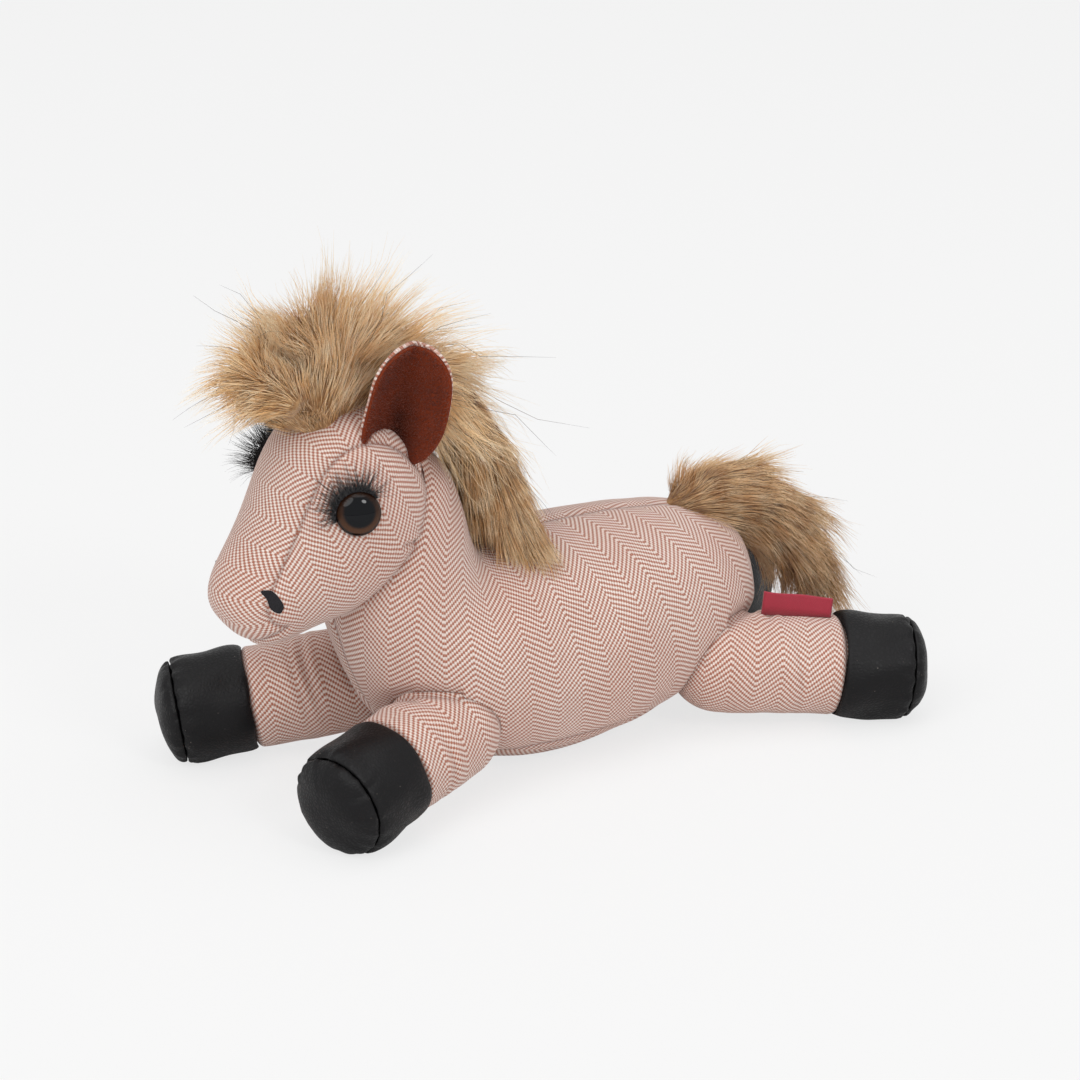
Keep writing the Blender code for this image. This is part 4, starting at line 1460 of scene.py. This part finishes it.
neckMane = {
    "depth": 0.034,
    "width": 0.034,
    "rings": (                      # along, side, height, lean, half depth, half width
        (-0.212, 0.00, 1.660, 42, 0.26, 0.28),
        (-0.198, -0.02, 1.570, 46, 0.46, 0.44),
        (-0.166, -0.05, 1.370, 52, 0.50, 0.50),
        (-0.126, -0.10, 1.160, 58, 0.42, 0.46),
        (-0.086, -0.17, 1.000, 66, 0.26, 0.30),
        (-0.068, -0.20, 0.930, 72, 0.12, 0.14),
    ),
    "fall": (0.35, -0.10, -0.93),
    "sag": (0.05, -0.15, -1.0),
    "standing": 0.28,
    "tuftSize": 0.009,
    "tuftHeight": 0.5,
    "shortFrom": (0.060, 0.030),    # height where the pile starts to shorten downwards, and over what
    "shortest": 0.75,
    "fill": (0.56, 0.66),           # the dense pile's share of the depth and the width
    "hair": {**strand, "Density": 1900000.0, "Length": 0.016, "Sway": 0.5, "Tuft": 1.3, "Tuft Scale": 75.0},
    "guard": {"Seed": 33, "Density": 15000.0, "Length": 0.026, "Width": 0.00022, "Stray": 0.40},
}


def makeNeckMane():
    rings = []
    for along, aside, height, lean, deep, wide in neckMane["rings"]:
        centre = Vector((along * body["length"], aside * body["width"], height * body["height"]))
        high = deep * neckMane["depth"] * neckMane["fill"][0]
        across = wide * neckMane["width"] * neckMane["fill"][1]
        rings.append(cageRing(centre, leaning(lean), sideAxis, high, across))
    base = subdivided(loft("neckManeCore", rings), 4)
    points = pointsOf(base)
    shaped(base, lumps(points, 0.010, 31) * 0.0026 + lumps(points, 0.005, 32) * 0.001)
    points, normals = addPile(base, "neck_mane_pile", "body", "neck_mane")
    down = unit(np.array([neckMane["fall"]]))[0]
    comb = unit(normals * neckMane["standing"] + down)
    sway = unit(np.array([neckMane["sag"]])).repeat(len(points), 0)
    full = np.maximum(ramp(points[:, 2], *neckMane["shortFrom"]), neckMane["shortest"])
    tufted = (1 + neckMane["tuftHeight"] * lumps(points, neckMane["tuftSize"], 37)) * full
    hair = combed(base.copy(), comb, sway, tufted, np.full(len(points), 1.0))
    growHair("neck_mane_hair", hair, "body", deepFurFinish, {**neckMane["hair"], "Seed": 31})
    guard = {**neckMane["hair"], **neckMane["guard"]}
    growHair("neck_mane_guard_hair", hair, "body", guardFinish, guard)


makeNeckMane()
print("neck mane made")


# Tail

tail = {
    "pivot": (0.060, 0, 0.0795),
    "length": 0.076,
    "thickness": 0.034,
    "rings": (                      # along, drop, half thickness, half width
        (-0.090, -0.080, 0.14, 0.14),
        (0.020, -0.030, 0.27, 0.26),
        (0.200, -0.010, 0.42, 0.38),
        (0.420, -0.080, 0.50, 0.44),
        (0.650, -0.280, 0.46, 0.38),
        (0.820, -0.540, 0.30, 0.26),
        (0.855, -0.660, 0.14, 0.14),
    ),
    "fill": (0.72, 0.76),           # the dense pile's share of the thickness, up and across
    "standing": 0.38,
    "lean": 0.95,
    "swayLean": 0.7,
    "sag": (0, 0, -0.6),
    "rootWidth": 0.012,             # the root's hairs stand up over the seam
    "rootStanding": 0.8,
    "flowWidth": 0.014,
    "tuftSize": 0.009,
    "tuftHeight": 0.5,
    "shortest": 0.75,
    "hair": {**strand, "Density": 1300000.0, "Length": 0.018, "Sway": 0.35, "Tuft": 1.5, "Tuft Scale": 75.0},
    "guard": {"Seed": 43, "Density": 10000.0, "Length": 0.028, "Width": 0.00022, "Stray": 0.35},
}


def makeTail():
    pivot = Vector(tail["pivot"])
    rings = []
    centres = []
    for along, drop, thick, wide in tail["rings"]:
        centre = pivot + Vector((along * tail["length"], 0, drop * tail["length"]))
        lean = math.radians(90) * max(0, -drop)
        up = Vector((math.sin(lean), 0, math.cos(lean)))
        high = thick * tail["thickness"] * tail["fill"][0]
        rings.append(cageRing(centre, up, sideAxis, high, wide * tail["thickness"] * tail["fill"][1]))
        centres.append(np.array(centre))
    base = subdivided(loft("tailCore", rings), 4)
    points = pointsOf(base)
    shaped(base, lumps(points, 0.010, 41) * 0.0026 + lumps(points, 0.005, 42) * 0.001)
    points, normals = addPile(base, "tail_pile", "tail", "tail")
    flow = np.zeros_like(points)
    for first, second in zip(centres, centres[1:]):
        near = bell(lengthsOf(points - (first + second) / 2), tail["flowWidth"])
        flow += near[:, None] * (second - first) / np.linalg.norm(second - first)
    flow = unit(flow)
    comb = unit(normals * tail["standing"] + flow * tail["lean"])
    sway = unit(flow * tail["swayLean"] + np.array(tail["sag"]))
    root = bell(lengthsOf(points - centres[1]), tail["rootWidth"])
    comb = unit(comb + normals * root[:, None] * tail["rootStanding"])
    tufted = np.maximum(1 + tail["tuftHeight"] * lumps(points, tail["tuftSize"], 47), tail["shortest"])
    hair = combed(base.copy(), comb, sway, tufted, np.full(len(points), 1.0))
    growHair("tail_hair", hair, "tail", deepFurFinish, {**tail["hair"], "Seed": 41})
    guard = {**tail["hair"], **tail["guard"]}
    growHair("tail_guard_hair", hair, "tail", guardFinish, guard)


makeTail()
print("tail made")


# Lashes, a strip of black fur round the top and front of each eye

lash = {
    "radius": 0.0011,
    "start": 35,
    "end": 200,
    "hair": {
        "Density": 4800000.0,
        "Length": 0.0110,
        "Unevenness": 0.85,
        "Width": 0.00014,
        "Sway": 0.2,
        "Curl": 0.4,
        "Curl Scale": 260.0,
        "Tuft": 0.6,
        "Tuft Scale": 260.0,
        "Stray": 0.55,
        "Joints": 5,
    },
}


def makeLash(name, side):
    matrix = mirroredSeat(eye, side)
    reach = eye["radius"] + lash["radius"] * 0.4
    height = eye["gap"] * 3 + lash["radius"] * 1.4 - reach**2 / head["width"]
    rings = []
    steps = 18
    for index in range(steps + 1):
        turn = math.radians(lash["start"] + (lash["end"] - lash["start"]) * index / steps)
        outward = Vector((-side * math.cos(turn), math.sin(turn), 0))
        ease = math.sqrt(max(0.12, math.sin(math.pi * (index + 0.5) / (steps + 1))))
        centre = outward * reach + Vector((0, 0, height))
        rings.append(cageRing(centre, Vector((0, 0, 1)), outward, lash["radius"] * ease, lash["radius"] * ease))
    mesh = subdivided(loft("lashCore", rings), 1)
    points = pointsOf(mesh)
    outward = unit(points * np.array((1, 1, 0)))
    comb = unit(outward * 0.9 + np.array((0, 0.15, 0.75)))
    full = np.clip(outward[:, 1] * 0.6 + 0.6 + side * outward[:, 0] * 0.35, 0.3, 1)
    hair = combed(mesh.copy(), comb, outward, full, full)
    for part in (mesh, hair):
        part.transform(matrix)
    turned = np.array(matrix.to_3x3())
    combed(hair, comb @ turned.T, outward @ turned.T, full, full)
    strip = addPiece(name + "_lash_backing", mesh, blackPileFinish)
    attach(strip, "head")
    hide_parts(name + "_lash_strip")
    values = {**lash["hair"], "Seed": 51 + side}
    growHair(name + "_lash_hair", hair, "head", lashFinish, values)


for name, side in sides:
    makeEye(name, side)
    makeLash(name, side)
print("eyes and lashes made")


# Nostrils

nostril = {
    "place": (-0.1148, -0.0173, 0.0856),
    "facing": (-0.476, -0.877, 0.072),
    "width": 0.0088,
    "height": 0.0084,
    "thickness": 0.0008,
    "lift": 0.0002,                 # clear of the cloth
    "search": 0.02,
    "outline": (
        (-0.50, 0.50), (-0.06, 0.48), (0.22, 0.30), (0.50, -0.20), (0.36, -0.38),
        (0.34, -0.50), (0.15, -0.47), (-0.10, -0.30), (-0.14, 0.02), (-0.28, 0.26),
    ),
}


def makeNostril(name, side):
    matrix = mirroredSeat(nostril, side)
    builder = bmesh.new()
    rim = [
        builder.verts.new((-side * across * nostril["width"], up * nostril["height"], 0))
        for across, up in nostril["outline"]
    ]
    middle = builder.verts.new(sum((vertex.co for vertex in rim), Vector()) / len(rim))
    for vertex, nearby in zip(rim, rim[1:] + rim[:1]):
        builder.faces.new((vertex, nearby, middle))
    mesh = subdivided(builtMesh(name + "_nostril", builder, False), 3)
    mesh.transform(matrix)
    inward = -Vector(matrix.col[2][:3]).normalized()
    for vertex in mesh.vertices:
        hit, normal, _, _ = headTree.ray_cast(vertex.co - inward * nostril["search"], inward)
        vertex.co = hit + normal * nostril["lift"]
    mesh = withModifiers(mesh, ("SOLIDIFY", {"thickness": nostril["thickness"], "offset": 1.0}))
    made = addPiece(name + "_nostril_pad", mesh, blackPileFinish)
    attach(made, "head")
    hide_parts(name + "_nostril_patch")


for name, side in sides:
    makeNostril(name, side)
print("nostrils made")


# Ears

ear = {
    "height": 0.0385,
    "width": 0.0275,
    "cup": 0.0120,
    "tips": 0.0110,
    "cloth": 0.0010,
    "glue": 0.0004,
    "along": 0.0215,
    "side": 0.0115,
    "rise": 0.0220,
    "leanBack": 9,
    "leanOut": 9,
    "turn": 22,
    "liningShare": 0.972,
    "rows": (                       # height, half width, lean to the rear
        (-0.16, 0.70, -0.05),
        (0.04, 0.88, -0.02),
        (0.28, 1.00, 0.00),
        (0.56, 0.99, 0.01),
        (0.80, 0.92, 0.02),
        (0.94, 0.66, 0.04),
        (0.99, 0.30, 0.05),
    ),
    "fuzz": {
        "Density": 4200000.0,
        "Length": 0.0014,
        "Unevenness": 0.6,
        "Width": 0.00016,
        "Sway": 0.2,
        "Curl": 0.5,
        "Curl Scale": 700.0,
        "Tuft": 1.2,
        "Tuft Scale": 500.0,
        "Stray": 0.6,
        "Joints": 3,
    },
}


def earMatrix(side):
    turn = math.radians(ear["turn"])
    facing = Vector((-math.sin(turn), side * math.cos(turn), 0))
    up = Vector((math.sin(math.radians(ear["leanBack"])), side * math.sin(math.radians(ear["leanOut"])), 1))
    up.normalize()
    facing = (facing - up * facing.dot(up)).normalized()
    place = headPivot + Vector((ear["along"], side * ear["side"], ear["rise"]))
    return Matrix.Translation(place) @ Matrix((facing.cross(up), facing, up)).transposed().to_4x4()


def earSheet(name, side, size, depth):
    builder = bmesh.new()
    layer = builder.loops.layers.uv.new("weave")
    rows = []
    columns = (-1, -0.66, -0.33, 0, 0.33, 0.66, 1)
    for height, halfWidth, lean in ear["rows"]:
        row = []
        for column in columns:
            across = (column * halfWidth * size / 2 + side * lean) * ear["width"]
            cup = ear["cup"] * halfWidth * abs(column) ** 1.4 + depth
            raised = ear["tips"] * max(0, 0.3 - height) * column**2
            row.append(builder.verts.new((across, cup, height * ear["height"] * size + raised)))
        rows.append(row)
    for face, _ in skinned(builder, rows, wraps=False):
        for loop in face.loops:
            loop[layer].uv = (loop.vert.co.x * 1.15, loop.vert.co.z)
    mesh = withModifiers(
        builtMesh(name, builder),
        ("SUBSURF", {"levels": 3, "render_levels": 3}),
        ("SOLIDIFY", {"thickness": ear["cloth"], "offset": 0.0}),
    )
    points = pointsOf(mesh)
    shaped(mesh, lumps(points, 0.009, 61 + side) * 0.0004)
    mesh.transform(earMatrix(side))
    return mesh


def makeEar(name, side):
    start = headPivot + Vector((ear["along"], side * ear["side"], ear["rise"]))
    up = Vector(earMatrix(side).col[2][:3])
    pieces = (
        ("_ear_back", "_ear_cloth", 1.0, 0.0, clothFinish, "herringbone"),
        ("_ear_lining", "_ear_felt", ear["liningShare"], ear["cloth"] + ear["glue"], feltFinish, "felt"),
    )
    for node, piece, size, depth, finish, slotName in pieces:
        mesh = earSheet(name + piece, side, size, depth)
        keepMeasure(mesh, "seamDistance", np.full(len(mesh.vertices), 0.02))
        local = (pointsOf(mesh) - np.array(start)) @ np.array(earMatrix(side).to_3x3())
        # painted shade in the lining's fold, on the felt only
        fold = bell(local[:, 0], 0.0050) * np.clip(1.15 - local[:, 2] / 0.030, 0, 1)
        keepMeasure(mesh, "crease", fold if finish == feltFinish else fold * 0)
        made = addPiece(name + piece, mesh, finish)
        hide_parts(name + node)
        if finish == feltFinish:
            normals = normalsOf(mesh)
            facing = np.array(earMatrix(side).col[1][:3])
            inside = ((normals @ facing) > 0.2) * 1.0
            base = combed(mesh.copy(), normals, normals * 0, np.ones(len(normals)), inside)
            fuzz = runTree(hairTree, base, {**ear["fuzz"], "Finish": fuzzFinish, "Seed": 71 + side})
            fuzz = addPiece(name + "_ear_fuzz", fuzz, fuzzFinish)
            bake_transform(fuzz)
        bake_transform(made)


for name, side in sides:
    makeEar(name, side)
print("ears made")

for name, _ in sides:
    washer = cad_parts[name + "_eye_washer"]
    for slot in washer.material_slots:
        slot.material = washerFinish


# Floor

def addFloor():
    half = light["floorWidth"] / 2
    mesh = bpy.data.meshes.new("studioFloor")
    corners = [(-half, -half, 0), (half, -half, 0), (half, half, 0), (-half, half, 0)]
    mesh.from_pydata(corners, [], [(0, 1, 2, 3)])
    made = Finish("studioFloor", Roughness=0.95, Specular_IOR_Level=0.1)
    grain = made.noise(made.objectPlace(), 400.0, 2.0)
    made.feed("Base Color", made.mix(grain * 0.02, linear(*light["backdrop"]), linear(236, 236, 236)))
    glow = made.node("ShaderNodeEmission", None, {"Color": linear(246, 246, 246)})
    seen = made.node("ShaderNodeLightPath") * light["glow"]
    plain = Wire(made, made.shader.outputs[0])
    blended = made.node("ShaderNodeMixShader", None, {0: seen, 1: plain, 2: glow})
    made.plug(blended, made.tree.nodes["Material Output"].inputs["Surface"])
    floor = bpy.data.objects.new("studioFloor", mesh)
    mesh.materials.append(made.material)
    scene.collection.objects.link(floor)
    floor.location.z = -0.0002


def addWorld():
    world = bpy.data.worlds.new("studioSky")
    world.use_nodes = True
    scene.world = world
    wiring = Wiring(world.node_tree)
    back = world.node_tree.nodes["Background"]
    rays = wiring.node("ShaderNodeLightPath")
    seen = wiring.maths("MAXIMUM", rays, rays.other("Is Glossy Ray"))
    seen = wiring.maths("MAXIMUM", seen, rays.other("Is Transmission Ray"))
    back.inputs["Color"].default_value = linear(*light["backdrop"])
    wiring.plug(seen * (1 - light["sky"]) + light["sky"], back.inputs["Strength"])


addCamera()
addLamps()
addFloor()
addWorld()
scene.view_settings.view_transform = "Standard"

print("scene done")
